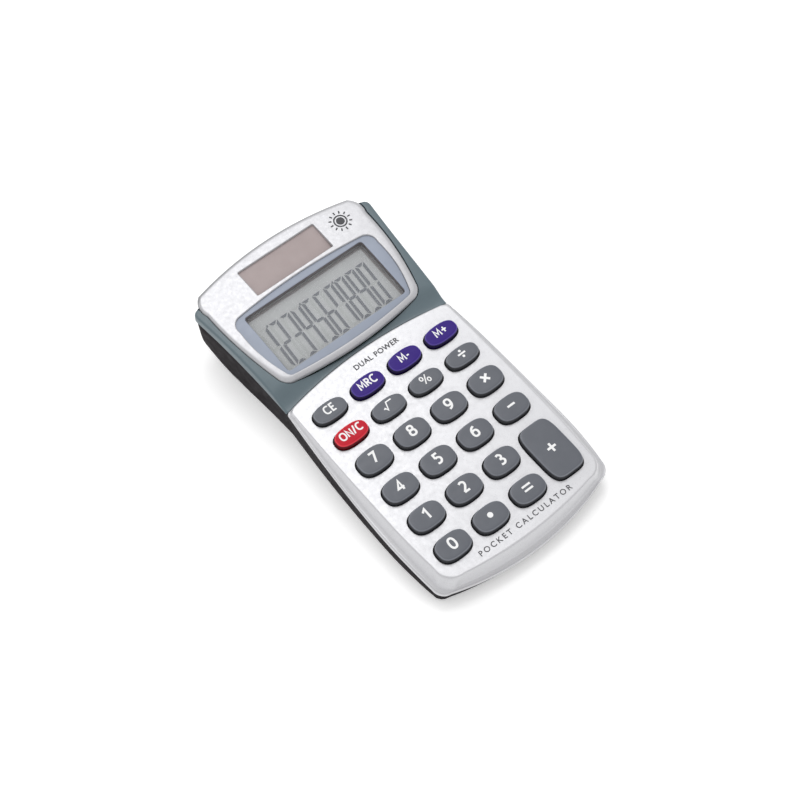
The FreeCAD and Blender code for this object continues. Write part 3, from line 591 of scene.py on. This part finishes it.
def make_key(name, place, size):
    """Hard key cap: flange, drafted side, narrow rounded shoulder and a nearly flat top."""
    loop = key_loop(size)
    profile = [(-FLANGE_LIP, FLANGE_LOW), (-FLANGE_LIP, FLANGE_TOP), (0.0, FLANGE_TOP),
               (0.0, PLATE_TOP - 0.3)]
    shoulder_low = KEY_TOP - 0.06 - KEY_SHOULDER
    for step in range(SHOULDER_STEPS + 1):
        angle = math.pi / 2 * step / SHOULDER_STEPS
        profile.append((KEY_DRAFT + KEY_SHOULDER * (1 - math.cos(angle)),
                        shoulder_low + KEY_SHOULDER * math.sin(angle)))
    rings = [lift(offset(loop, d), z) for d, z in profile]
    shoulder = offset(loop, KEY_DRAFT + KEY_SHOULDER)
    for share in (0.94, 0.75, 0.5, 0.25):
        flat = shoulder * share
        rings.append(lift(flat, key_crown(size, flat[:, 0], flat[:, 1])))
    bm = bmesh.new()
    made = add_rings(bm, rings)
    bm.faces.new(list(reversed(made[0])))
    material, slot = KEY_MATERIALS.get(name, (KEY_GREY, "grey_keys"))
    where = KEYPAD @ Matrix.Translation((*place, 0))
    settle(mesh_object(name.replace("key_", "cap_"), bm, where, material, 60), name, slot, name)


# ---------------------------------------------------------------- legends

CAPITAL_SHARE = 0.73  # a capital's height as a share of the font size
FIGURE_HEIGHT, FIGURE_STROKE = 3.75, 0.66
LEGEND_RISE = 0.42  # how far a legend is set back from its key's middle
PRINT_HEIGHT = 0.016


def text_mesh(text, height, bold, spacing):
    """Flat outline lettering as mesh data, centred, with capitals of the given height."""
    curve = bpy.data.curves.new("lettering", "FONT")
    curve.body = text
    curve.size = height / CAPITAL_SHARE
    curve.offset = bold
    curve.space_character = spacing
    curve.resolution_u = 6
    holder = new_object("lettering", curve)
    bpy.context.view_layer.update()
    mesh = bpy.data.meshes.new_from_object(holder.evaluated_get(bpy.context.evaluated_depsgraph_get()))
    bpy.data.objects.remove(holder)
    corners = np.array([v.co for v in mesh.vertices])
    mesh.transform(Matrix.Translation(-Vector((corners.min(0) + corners.max(0)) / 2)))
    return mesh


def stroke_mesh(polygons):
    """Flat mesh of the union of closed polygons."""
    points, faces = [], []
    for polygon in polygons:
        ring = np.array(polygon, float)
        ahead = np.roll(ring, -1, 0)
        if np.sum(ring[:, 0] * ahead[:, 1] - ahead[:, 0] * ring[:, 1]) < 0:
            ring = ring[::-1]
        faces.append(list(range(len(points), len(points) + len(ring))))
        points += [Vector(p) for p in ring]
    coords, _, triangles, _, _, sources = delaunay_2d_cdt(points, [], faces, 1, 1e-5)
    mesh = bpy.data.meshes.new("strokes")
    covered = [face for face, source in zip(triangles, sources) if source]
    mesh.from_pydata([(c[0], c[1], 0) for c in coords], [], covered)
    return mesh


def bar(x0, y0, x1, y1, width):
    """Rectangle along a line from one point to another."""
    run = np.array([x1 - x0, y1 - y0])
    side = np.array([-run[1], run[0]]) / np.linalg.norm(run) * width / 2
    a, b = np.array([x0, y0]), np.array([x1, y1])
    return [a + side, a - side, b - side, b + side]


def disc(radius, centre=(0.0, 0.0)):
    return circle_loop(radius, centre, 32)


def band(left, right):
    """Quads between two closed loops."""
    return list(zip(left, right, np.roll(right, -1, 0), np.roll(left, -1, 0)))


def ribbon(points, width, closed=False):
    """Stroke of even width along a line, as a strip of quads with mitred joints."""
    line = np.array(points, float)
    ahead = np.roll(line, -1, 0) - line
    behind = line - np.roll(line, 1, 0)
    if not closed:
        ahead[-1], behind[0] = behind[-1], ahead[0]
    ahead /= np.linalg.norm(ahead, axis=1)[:, None]
    behind /= np.linalg.norm(behind, axis=1)[:, None]
    normal = np.stack([-ahead[:, 1] - behind[:, 1], ahead[:, 0] + behind[:, 0]], 1)
    normal /= np.maximum(np.linalg.norm(normal, axis=1), 1e-6)[:, None]
    lean = np.maximum(0.5, np.abs(np.sum(normal * np.stack([-ahead[:, 1], ahead[:, 0]], 1), 1)))
    reach = normal * (width / 2 / lean)[:, None]
    left, right = line + reach, line - reach
    quads = band(left, right)
    return quads if closed else quads[:-1]


def bend(points, closed=False, steps=6):
    """Smooth line through points."""
    line = np.array(points, float)
    if closed:
        line = np.concatenate([line[-1:], line, line[:2]])
    else:
        line = np.concatenate([2 * line[:1] - line[1:2], line, 2 * line[-1:] - line[-2:-1]])
    made = []
    for p0, p1, p2, p3 in zip(line, line[1:], line[2:], line[3:]):
        for t in np.arange(steps) / steps:
            made.append(0.5 * (2 * p1 + (p2 - p0) * t + (2 * p0 - 5 * p1 + 4 * p2 - p3) * t**2
                               + (3 * p1 - p0 - 3 * p2 + p3) * t**3))
    if not closed:
        made.append(line[-2])
    return made


def oval(x, y, rx, ry, start=0.0, end=360.0, square=0.85):
    """Arc of a slightly squared ellipse, in degrees."""
    angles = np.radians(np.linspace(start, end, max(8, int(abs(end - start) / 11))))
    if abs(end - start) >= 360:
        angles = angles[:-1]
    c, s = np.cos(angles), np.sin(angles)
    return [(x + rx * np.sign(a) * abs(a)**square, y + ry * np.sign(b) * abs(b)**square)
            for a, b in zip(c, s)]


# Stroke centre lines on a box one unit tall: width, then (kind, points) strokes.
GLYPHS = {
    "0": (0.60, [("closed", oval(0.30, 0.5, 0.30, 0.5))]),
    "1": (0.34, [("line", [(0, 0.74), (0.34, 1.0), (0.34, 0)])]),
    "2": (0.56, [
        ("bend", [(0.02, 0.90), (0.24, 1.0), (0.50, 0.86), (0.48, 0.58), (0.26, 0.28), (0.02, 0.02)]),
        ("line", [(0.0, 0.0), (0.58, 0.0)])]),
    "3": (0.54, [
        ("bend", [(0.03, 0.96), (0.26, 1.0), (0.46, 0.80), (0.36, 0.60), (0.16, 0.53)]),
        ("bend", [(0.16, 0.53), (0.42, 0.46), (0.53, 0.26), (0.40, 0.05), (0.20, 0.0), (0.0, 0.05)])]),
    "4": (0.64, [("line", [(0.46, 0), (0.46, 1.0), (0.0, 0.28), (0.64, 0.28)])]),
    "5": (0.54, [
        ("line", [(0.50, 1.0), (0.09, 1.0), (0.07, 0.56)]),
        ("bend", [(0.07, 0.57), (0.28, 0.59), (0.50, 0.46), (0.52, 0.22), (0.36, 0.03), (0.16, 0.0),
                  (0.0, 0.04)])]),
    "6": (0.58, [
        ("closed", oval(0.29, 0.31, 0.28, 0.31)),
        ("bend", [(0.01, 0.33), (0.06, 0.66), (0.24, 0.90), (0.50, 1.0)])]),
    "7": (0.56, [("line", [(0, 1.0), (0.56, 1.0), (0.16, 0)])]),
    "8": (0.58, [("closed", oval(0.29, 0.77, 0.24, 0.23)), ("closed", oval(0.29, 0.27, 0.29, 0.27))]),
    "9": (0.58, [
        ("closed", oval(0.29, 0.69, 0.28, 0.31)),
        ("bend", [(0.57, 0.67), (0.52, 0.34), (0.34, 0.10), (0.08, 0.0)])]),
    "C": (0.60, [("line", oval(0.40, 0.5, 0.40, 0.5, 50, 310))]),
    "E": (0.46, [("line", [(0.46, 1), (0, 1), (0, 0), (0.46, 0)]), ("line", [(0, 0.52), (0.42, 0.52)])]),
    "M": (0.86, [("line", [(0, 0), (0.07, 1.0), (0.43, 0.28), (0.79, 1.0), (0.86, 0)])]),
    "R": (0.52, [
        ("line", [(0, 0), (0, 1), (0.22, 1), *oval(0.22, 0.76, 0.26, 0.24, 80, -90), (0, 0.52)]),
        ("line", [(0.20, 0.52), (0.54, 0)])]),
    "O": (0.80, [("closed", oval(0.40, 0.5, 0.40, 0.5))]),
    "N": (0.62, [("line", [(0, 0), (0, 1.0), (0.62, 0.0), (0.62, 1)])]),
    "/": (0.34, [("line", [(0, -0.08), (0.34, 1.08)])]),
    "-": (0.36, [("line", [(0, 0.40), (0.36, 0.40)])]),
    "+": (0.70, [("line", [(0, 0.48), (0.70, 0.48)]), ("line", [(0.35, 0.10), (0.35, 0.86)])]),
}


def glyph_strokes(text, height, stroke, gap=0.3, squeeze=1.0):
    """Centred row of glyphs whose outer height is given, as polygons."""
    tall = height - stroke
    polygons, x = [], 0.0
    for sign in text:
        width, strokes = GLYPHS[sign]
        for kind, points in strokes:
            if kind == "bend":
                points = bend(points)
            placed = [(x + px * tall * squeeze, (py - 0.5) * tall) for px, py in points]
            polygons += ribbon(placed, stroke, kind == "closed")
        x += width * tall * squeeze + stroke + gap
    middle = (x - stroke - gap) / 2
    return [[(p[0] - middle, p[1]) for p in polygon] for polygon in polygons]


def sign_strokes(name):
    """Legends that are signs rather than letters or figures."""
    shapes = {
        "key_plus": [bar(-1.45, 0, 1.45, 0, 0.7), bar(0, -1.45, 0, 1.45, 0.7)],
        "key_minus": [bar(-1.3, 0, 1.3, 0, 0.66)],
        "key_times": [bar(-1.05, -1.05, 1.05, 1.05, 0.74), bar(-1.05, 1.05, 1.05, -1.05, 0.74)],
        "key_divide": [bar(-1.3, 0, 1.3, 0, 0.55), disc(0.42, (0, 1.0)), disc(0.42, (0, -1.0))],
        "key_equals": [bar(-1.45, 0.68, 1.45, 0.68, 0.62), bar(-1.45, -0.68, 1.45, -0.68, 0.62)],
        "key_decimal": [disc(0.85)],
        "key_root": ribbon([(-1.75, -0.55), (-1.3, -0.3), (-0.85, -1.25), (0.0, 1.2), (1.85, 1.2)], 0.4),
        "key_percent": (ribbon(oval(-0.95, 0.65, 0.48, 0.6, square=1.0), 0.36, True)
                        + ribbon(oval(0.95, -0.65, 0.48, 0.6, square=1.0), 0.36, True)
                        + [bar(-0.72, -1.4, 0.72, 1.4, 0.36)]),
    }
    return shapes[name]


WORD_LEGENDS = {  # text, height, stroke, gap, squeeze
    "key_clear_entry": ("CE", 2.8, 0.48, 0.34, 1.0),
    "key_memory_recall": ("MRC", 2.8, 0.48, 0.22, 0.90),
    "key_memory_minus": ("M-", 2.8, 0.48, 0.16, 0.90),
    "key_memory_plus": ("M+", 2.8, 0.44, 0.20, 0.90),
    "key_on_clear": ("ON/C", 2.7, 0.48, 0.15, 0.96),
}


def make_legend(name, place, size):
    """White print on a key, laid over its top."""
    if name in WORD_LEGENDS:
        polygons = glyph_strokes(*WORD_LEGENDS[name])
    elif name[4:].isdigit():
        polygons = glyph_strokes(name[4:], FIGURE_HEIGHT, FIGURE_STROKE)
    else:
        polygons = sign_strokes(name)
    bm = bmesh.new()
    bm.from_mesh(stroke_mesh(polygons))
    rise = 0.0 if name == "key_plus" else LEGEND_RISE
    bmesh.ops.translate(bm, verts=bm.verts, vec=(0, rise, 0))
    for vert in bm.verts:
        vert.co.z = key_crown(size, vert.co.x, vert.co.y) + PRINT_HEIGHT
    face_up(bm)
    piece = flat_object("legend_" + name[4:], bm, KEYPAD @ Matrix.Translation((*place, 0)), WHITE_PRINT)
    settle(piece, name, KEY_MATERIALS.get(name, (None, "grey_keys"))[1])


def face_up(bm):
    """Turns every face of a flat print upwards."""
    for face in bm.faces:
        face.normal_update()
        if face.normal.z < 0:
            face.normal_flip()


# ---------------------------------------------------------------- shells

PLATE_FACE = PLATE_TOP - 0.02
FLANGE_STEP, STEP_END = 0.84, 0.58  # the inner slope's shares of the flange's fall and width
LIP_START = 0.3  # share of the width where the shallow lip begins
BEAD_RISE, BEAD_PLACE, BEAD_SPREAD = 0.13, 0.915, 0.035


def flange_fall(outward):
    """Share of the flange's drop at a share of its width: a roll, a crease, then a shallow lip."""
    step = FLANGE_STEP * np.sin(np.clip(outward / STEP_END, 0, 1) * math.pi / 2)**2
    return step + (1 - FLANGE_STEP) * smooth_step((outward - LIP_START) / (1 - LIP_START))


def plate_field(x, _):
    """The level field between the keys."""
    return np.full(np.shape(x), PLATE_FACE)


def sink(ring, depth):
    """Eases a ring of vertices down, to round the edge of an opening."""
    for vert in ring:
        vert.co.z -= depth


def make_keypad_plate():
    """Level field with the key holes, then a flange that rolls down to a beaded rim."""
    holes = [key_loop(size, KEY_GAP, place) for name, place, size in KEYS]
    bm = bmesh.new()
    outer, rings = add_surface(bm, PLATEAU_PLAN, (0.4,), holes, 2.4, plate_field,
                               hole_steps=(0.0, 0.1, 0.22))
    for ring in rings:
        sink(ring, 0.12)
    edge_height = plate_edge_height(PLATE_PLAN[:, 1])
    drop = PLATE_FACE - edge_height
    steps = []
    for outward in np.concatenate([np.linspace(0.05, 0.85, 17), [0.88, 0.91, 0.94, 0.965, 0.985]]):
        flat = PLATEAU_PLAN * (1 - outward) + PLATE_PLAN * outward
        bead = BEAD_RISE * math.exp(-((outward - BEAD_PLACE) / BEAD_SPREAD)**2)
        steps.append((flat, PLATE_FACE - drop * flange_fall(outward) + bead))
    rim_low = np.minimum(parting_height(PLATE_PLAN[:, 1]) + 0.03, edge_height - 0.3)
    steps += [(offset(PLATE_PLAN, 0.03), edge_height - 0.06), (PLATE_PLAN, edge_height - 0.18),
              (PLATE_PLAN, rim_low + 0.1), (offset(PLATE_PLAN, 0.12), rim_low),
              (offset(PLATE_PLAN, 1.1), rim_low)]
    add_wall(bm, outer, steps)
    for ring, hole in zip(rings, holes):
        wall = offset(hole, 0.03)
        add_wall(bm, ring, [(wall, PLATE_TOP - 0.4), (wall, PLATE_TOP - 2.4)])
    drop_loose(bm)
    settle(mesh_object("plate_skin", bm, KEYPAD, SILVER, 50), "case", "silver_finish", "keypad_plate")


HEAD_SINK, HEAD_CROWN, HEAD_HALF = 0.12, 0.18, 29.0


def head_crown(x, y):
    """Crowned face of the head before its edges are rounded."""
    return bezel_height(y) - HEAD_SINK - HEAD_CROWN * (x / HEAD_HALF)**2


def bezel_surface(x, y):
    """Face of the head's silver frame, rolled over at its edge."""
    reach, fall = 1.3, 0.95
    return head_crown(x, y) - fall * quarter_round(depth_in(x, y, BEZEL_PLAN), reach)


def display_floor(y, above):
    """Height in the keypad frame of a level of the display frame."""
    return DISPLAY_UP + (y - DISPLAY_BACK) * math.tan(DISPLAY_LEAN) + above


def along_display(distance):
    """Distance back in the keypad frame of a distance along the display."""
    return DISPLAY_BACK + distance * math.cos(DISPLAY_LEAN)


def make_display_bezel():
    """Silver frame of the head, open over the display and the solar cell."""
    solar = rounded_loop(*SOLAR_WINDOW, 0.35, (0, along_display(SOLAR_CENTRE)), per_side=24, per_corner=5)
    holes = [BORDER_PLAN, solar]
    bm = bmesh.new()
    insets = (0.05, 0.15, 0.3, 0.5, 0.75, 1.05, 1.5)
    outer, rings = add_surface(bm, BEZEL_PLAN, insets, holes, 1.3, bezel_surface,
                               hole_steps=(0.0, 0.12, 0.3))
    for ring in rings:
        sink(ring, 0.14)
    low = display_floor(BEZEL_PLAN[:, 1], 0.15)
    base = heights_of(outer)
    add_wall(bm, outer, [(BEZEL_PLAN, np.minimum(base - 0.05, low + 0.3)), (offset(BEZEL_PLAN, 0.05), low)])
    for ring, hole in zip(rings, holes):
        add_wall(bm, ring, [(hole, bezel_height(hole[:, 1]) - 1.25)])
    drop_loose(bm)
    piece = mesh_object("head_frame", bm, KEYPAD, FRAME_SILVER, 50)
    settle(piece, "case", "silver_finish", "display_bezel")


def make_window_border():
    """Blue-grey frame with a dark well down to the lens."""
    window = rounded_loop(*WINDOW, 1.0, (0, along_display(WINDOW_CENTRE)), per_side=24, per_corner=8)
    outline = offset(BORDER_PLAN, 0.03)
    bm = bmesh.new()

    def height(x, y):
        return head_crown(x, y) - 0.55

    outer, rings = add_surface(bm, outline, (0.1, 0.5), [window], 1.5, height, hole_steps=(0.0, 0.1, 0.25))
    sink(rings[0], 0.1)
    add_wall(bm, outer, [(outline, bezel_height(outline[:, 1]) - 1.3)])
    edge = heights_of(rings[0])
    drop_loose(bm)
    settle(mesh_object("window_frame", bm, KEYPAD, BORDER, 50), "case", "border_plastic", "window_border")

    bm = bmesh.new()
    floor = display_floor(window[:, 1], 0.02)
    rings = [lift(window, edge - 0.01), lift(offset(window, 0.02), floor), lift(offset(window, -0.5), floor)]
    add_rings(bm, rings, cap=False)
    settle(mesh_object("window_well", bm, KEYPAD, WELL, 50), "case", "black_plastic")


UNDER_FRAME_FROM = 40  # behind this the slate drops under the silver frame
VALLEY = -1.0  # height of the slate where it meets the plate
POCKET_PLAY, POCKET_WALL = 0.18, 0.7  # round the silver frame, and to the case's outline
COVE_WIDTH = 6.5  # from the plate's edge to the head's full height


def shoulder_surface(x, y):
    """Slate head: rises from the plate's edge and rolls over at its sides."""
    points = np.stack([x, y], 1)
    from_plate = np.where(inside(points, PLATE_PLAN), 0.0, distance_to(points, PLATE_PLAN))
    cove = smooth_step(from_plate / COVE_WIDTH)
    height = VALLEY * (1 - cove) + (shoulder_height(y) - 0.05) * cove
    height = np.minimum(height, shoulder_height(y) - 0.02)
    reach, fall = 0.8, 0.7
    height = height - fall * quarter_round(depth_in(x, y, CASE_PLAN), reach)
    under = inside(points, BEZEL_PLAN) & (y > UNDER_FRAME_FROM)
    return np.where(under, np.minimum(height, display_floor(y, 0.1)), height)


def head_outline():
    """The case outline behind the plate's arch."""
    arch = offset(PLATE_PLAN, -0.1)
    back = CASE_PLAN[CASE_PLAN[:, 1] > 7.9]
    first = np.argmin(np.where(back[:, 0] > 0, back[:, 1], 1e9))
    back = np.roll(back, -first, 0)
    front = arch[(arch[:, 1] > 7.75) & (np.abs(arch[:, 0]) < 28.9)]
    front = front[np.argsort(front[:, 0])]
    return np.concatenate([back, front])


def make_front_case():
    """Slate head with a pocket for the silver frame, kept inside the case's outline."""
    outline = head_outline()
    pocket = offset(BEZEL_PLAN, -POCKET_PLAY)
    limit = offset(CASE_PLAN, POCKET_WALL)
    middle = np.array([0.0, 42.0])
    shrink, passes = 0.997, 60
    for _ in range(passes):
        outside = ~inside(pocket, limit)
        pocket[outside] = middle + (pocket[outside] - middle) * shrink
    bm = bmesh.new()
    outer, rings = add_surface(bm, outline, (0.06, 0.16, 0.32, 0.54, 0.8), [pocket], 1.1, shoulder_surface,
                               hole_steps=(0.0, 0.08, 0.2))
    sink(rings[0], 0.07)
    base = heights_of(outer)
    low = np.minimum(parting_height(outline[:, 1]) + 0.02, base - 0.08)
    add_wall(bm, outer, [(outline, low + 0.2), (outline, low + 0.06),
                         (offset(outline, 0.1), low), (offset(outline, 1.2), low)])
    add_wall(bm, rings[0], [(pocket, display_floor(pocket[:, 1], -0.1))])
    drop_loose(bm)
    settle(mesh_object("head_shell", bm, KEYPAD, SLATE, 40), "case", "slate_plastic", "front_case")


def table_height(y, above):
    """Height in the keypad frame of a level over the table."""
    return (above - SHIFT_UP - y * math.sin(LEAN)) / math.cos(LEAN)


back_rise = curve_through([
    (20, -40), (29, -17.6), (34, -16.4), (38, -15.0), (42, -12.8), (46, -9.5), (49, -6.4), (51.6, -2.9),
    (53.4, 0.6), (54.8, 4.0)])
front_rise = curve_through([
    (-66.8, -5.2), (-65.6, -7.1), (-64, -8.3), (-61.5, -9.5), (-57, -10.9), (-52, -12.6), (-40, -30)])
BACK_RISE_FROM, FRONT_RISE_FROM, FAR_BELOW = 20, -40, -60.0
FOOT_CLEARANCE, SOFTNESS = 0.45, 0.7
TUB_INSET, TUB_DRAFT = 0.3, 0.11
TUB_PLAN = offset(mirrored_outline(
    CASE_FLANK + [((29.4, 7.5), (30.1, 26.0), (31.65, 44.6)),
                  ((31.65, 44.6), (30.9, 47.6), (28.0, 49.4))],
    CASE_FRONT, CASE_BACK), TUB_INSET)


def tub_surface(x, y):
    """Underside: the flat floor, its rise at both ends and the drafted walls, softly joined."""
    rim = np.minimum(-2.0, parting_height(y))
    wall = rim - np.maximum(depth_in(x, y, TUB_PLAN) - 0.02, 0) / TUB_DRAFT
    floor = table_height(y, FOOT_CLEARANCE)
    back = np.where(y > BACK_RISE_FROM, back_rise(y), FAR_BELOW)
    front = np.where(y < FRONT_RISE_FROM, front_rise(y), FAR_BELOW)
    parts = np.stack([wall, floor, back, front])
    top = parts.max(0)
    return top + SOFTNESS * np.log(np.exp((parts - top) / SOFTNESS).sum(0))


SCREW_SEAT, FOOT_SEAT, DOOR_PLAY = 2.15, 3.06, 0.3
SHALLOW, DEEP = 1.6, 4.0  # depths of the seats
DOOR = (17.0, 25.0, 2.0)  # width, depth, corner
DOOR_PLACE = (0.0, 21.5)
SCREW_PLACES = [(-13.5, -36.05), (13.5, -36.05), (-23.0, 44.0), (23.0, 44.0)]
FEET = [(-21.0, -45.0), (21.0, -45.0), (-21.0, 29.0), (21.0, 29.0)]


def keypad_place(x, y):
    """Point of the keypad frame over a point of the table."""
    point = KEYPAD.inverted() @ Vector((x * MM, y * MM, 0))
    return point.x, point.y


def make_rear_cover():
    """Dark tub seen from below, with seats for the feet, the screws and the battery door."""
    seats = [(circle_loop(SCREW_SEAT, (x, y)), DEEP if y > 0 else SHALLOW) for x, y in SCREW_PLACES]
    seats += [(circle_loop(FOOT_SEAT, keypad_place(*place)), SHALLOW) for place in FEET]
    door = rounded_loop(DOOR[0] + DOOR_PLAY, DOOR[1] + DOOR_PLAY, DOOR[2], DOOR_PLACE, per_side=20)
    seats.append((door, SHALLOW))
    holes = [hole for hole, _ in seats]
    bm = bmesh.new()
    insets = (0.12, 0.3, 0.5, 0.7, 0.9, 1.05, 1.2, 1.35, 1.5, 1.65, 1.8, 1.95, 2.1, 2.25, 2.4, 2.6, 2.9)
    outer, rings = add_surface(bm, TUB_PLAN, insets, holes, 1.6, tub_surface, hole_steps=(0.0, 0.12))
    rim = parting_height(TUB_PLAN[:, 1]) - 0.02
    base = heights_of(outer)
    mid = (rim + base) / 2
    add_wall(bm, outer, [(TUB_PLAN, mid), (TUB_PLAN, rim - 0.12), (offset(TUB_PLAN, 0.1), rim),
                         (offset(TUB_PLAN, 1.6), rim)])
    for ring, (hole, depth) in zip(rings, seats):
        start = heights_of(ring)
        add_wall(bm, ring, [(hole, start + 0.3), (hole, start + depth)])
    drop_loose(bm)
    settle(mesh_object("tub_shell", bm, KEYPAD, DARK, 40), "case", "dark_plastic", "rear_cover")


# ---------------------------------------------------------------- display

DIGIT_PITCH = 3.97
DIGIT_WIDTH, DIGIT_HEIGHT, STROKE = 3.35, 15.0, 0.92
DIGIT_SLANT = math.tan(math.radians(3.0))
FIRST_DIGIT = -19.15  # centre of the first digit
DIGIT_LOW = 1.15  # in the display frame, above the window's lower edge
SHOWN = "1234567890"
LIT = {"0": "abcdef", "1": "bc", "2": "abged", "3": "abgcd", "4": "fgbc", "5": "afgcd", "6": "afgedc",
       "7": "abcf", "8": "abcdefg", "9": "abcdfg"}


def segment_polygon(kind):
    """One bar of a seven-segment digit, standing on y = 0 and centred on x = 0."""
    w, h, s, gap = DIGIT_WIDTH / 2, DIGIT_HEIGHT, STROKE, 0.14
    mid = h / 2
    if kind in "agd":
        y = {"a": h - s / 2, "g": mid, "d": s / 2}[kind]
        tip = s / 2
        left, right = -w + gap + tip * 0.4, w - gap - tip * 0.4
        if kind == "g":
            return [(left, y), (left + tip, y + tip), (right - tip, y + tip), (right, y),
                    (right - tip, y - tip), (left + tip, y - tip)]
        top, low = (y + tip, y - tip) if kind == "a" else (y - tip, y + tip)
        return [(left, top), (right, top), (right - s, low), (left + s, low)]
    side = 1 if kind in "bc" else -1
    low, high = (mid + gap, h - gap) if kind in "bf" else (gap, mid - gap)
    outer, inner = side * w, side * (w - s)
    if kind in "bf":
        return [(outer, high), (inner, high - s), (inner, low + s * 0.45), (outer, low)]
    return [(outer, high), (inner, high - s * 0.45), (inner, low + s), (outer, low)]


def digit_polygons(lit, shift=(0.0, 0.0)):
    """All the lit, or all the unlit, segments of the ten digits."""
    found = []
    for index, figure in enumerate(SHOWN):
        centre = FIRST_DIGIT + index * DIGIT_PITCH
        for kind in "abcdefg":
            if (kind in LIT[figure]) == lit:
                found.append([(centre + x + (y - DIGIT_HEIGHT / 2) * DIGIT_SLANT + shift[0],
                               DIGIT_LOW + y + shift[1]) for x, y in segment_polygon(kind)])
    if lit:
        for index in (0, 3, 6):
            x = FIRST_DIGIT + index * DIGIT_PITCH + DIGIT_WIDTH / 2 + 0.75 + shift[0]
            y = DIGIT_LOW + DIGIT_HEIGHT - 0.15 + shift[1]
            found.append([(x - 0.3, y + 0.35), (x + 0.3, y + 0.35),
                          (x + 0.1, y - 0.45), (x - 0.2, y - 0.45)])
    return found


def make_display():
    """Painted shade in a band round the window, the lit bars with their painted drop shadows, and the unlit bars,
    in thin layers over the glass.
    """
    glass_face = -0.82
    window = rounded_loop(*WINDOW, 1.0, (0, WINDOW_CENTRE))
    layers = [("edge_shade", band(window, offset(window, 0.85)), 0.004, EDGE_SHADE),
              ("segment_ghosts", digit_polygons(False), 0.004, GHOST),
              ("segment_shadows", digit_polygons(True, (-0.28, -0.22)), 0.007, SHADE),
              ("segments", digit_polygons(True), 0.011, SEGMENT)]
    for name, polygons, rise, material in layers:
        bm = bmesh.new()
        bm.from_mesh(stroke_mesh(polygons))
        bmesh.ops.translate(bm, verts=bm.verts, vec=(0, 0, glass_face + rise))
        face_up(bm)
        settle(flat_object("lcd_" + name, bm, DISPLAY, material), "case", "display_glass")


# ---------------------------------------------------------------- print on the case

CASE_PRINT_HEIGHT = 0.05


def lay_on(name, mesh, place, surface):
    """Grey lettering or a sign laid over a silver surface of the keypad frame."""
    bm = bmesh.new()
    bm.from_mesh(mesh)
    bmesh.ops.translate(bm, verts=bm.verts, vec=(*place, 0))
    face_up(bm)
    xy = np.array([v.co[:2] for v in bm.verts])
    for vert, z in zip(bm.verts, surface(xy[:, 0], xy[:, 1])):
        vert.co.z = z + CASE_PRINT_HEIGHT
    settle(flat_object(name, bm, KEYPAD, GREY_PRINT), "case", "silver_finish")


def make_prints():
    """A plain sun sign by the solar window and two generic lines of words."""
    sun = [disc(1.3)] + band(disc(2.15), disc(1.7))
    rays = 12
    for i in range(rays):
        angle = 2 * math.pi / rays * i
        c, s = math.cos(angle), math.sin(angle)
        sun.append(bar(2.6 * c, 2.6 * s, 3.5 * c, 3.5 * s, 0.42))
    lay_on("sun_sign", stroke_mesh(sun), (20.8, 46.4), bezel_surface)
    lay_on("case_words", text_mesh("POCKET CALCULATOR", 1.75, 0.02, 1.42), (0.6, -58.8), plate_field)
    lay_on("power_words", text_mesh("DUAL POWER", 1.7, 0.05, 1.1), (2.0, 6.9), plate_field)


# ---------------------------------------------------------------- stage, camera and light

def make_stage():
    floor_mesh = bpy.data.meshes.new("floor")
    half = 3.0
    floor_mesh.from_pydata([(-half, -half, 0), (half, -half, 0), (half, half, 0), (-half, half, 0)], [],
                           [(0, 1, 2, 3)])
    floor = new_object("floor", floor_mesh)
    paper = Finish("floor_paper", (0.97, 0.97, 0.97), 0.9, specular=0.1)
    fill(paper.shader, {"Emission Color": (1, 1, 1, 1), "Emission Strength": 0.26})
    floor_mesh.materials.append(paper.material)


def area_light(name, place, size, power, specular=1.0):
    """Soft rectangular light that faces the origin."""
    light = bpy.data.lights.new(name, "AREA")
    light.shape = "RECTANGLE"
    light.size, light.size_y = size
    light.energy = power
    light.specular_factor = specular
    holder = new_object(name, light)
    holder.location = place
    holder.rotation_euler = (-Vector(place)).to_track_quat("-Z", "Y").to_euler()


def make_lights():
    world = bpy.data.worlds.new("studio")
    bpy.context.scene.world = world
    world.use_nodes = True
    background = world.node_tree.nodes["Background"]
    fill(background, {"Color": (1.0, 1.0, 1.0, 1), "Strength": 0.80})
    area_light("overhead", (0.10, 0.30, 0.74), (0.5, 0.4), 1.9, specular=0.5)
    area_light("left_strip", (-0.35, 0.55, 0.30), (0.15, 0.5), 0.3)
    view = bpy.context.scene.view_settings
    view.view_transform, view.look = "Standard", "None"


CAMERA_AZIMUTH, CAMERA_ELEVATION = -39.89, 57.75
CAMERA_DISTANCE, CAMERA_LENS = 0.5664, 91.1


def make_camera():
    azimuth, elevation = math.radians(CAMERA_AZIMUTH), math.radians(CAMERA_ELEVATION)
    target = Vector((-2.51, -9.02 + SHIFT_BACK, SHIFT_UP)) * MM
    back = Vector((math.sin(azimuth) * math.cos(elevation), -math.cos(azimuth) * math.cos(elevation),
                   math.sin(elevation)))
    data = bpy.data.cameras.new("camera")
    data.sensor_width = 36.0
    data.lens = CAMERA_LENS
    data.clip_start = 0.01
    camera = new_object("camera", data)
    camera.location = target + back * CAMERA_DISTANCE
    camera.rotation_euler = back.to_track_quat("Z", "Y").to_euler()
    bpy.context.scene.camera = camera


make_camera()
make_lights()
make_stage()
finish_cad_nodes()
for name, place, size in KEYS:
    make_key(name, place, size)
    make_legend(name, place, size)
make_keypad_plate()
make_display_bezel()
make_window_border()
make_front_case()
make_rear_cover()
make_display()
make_prints()
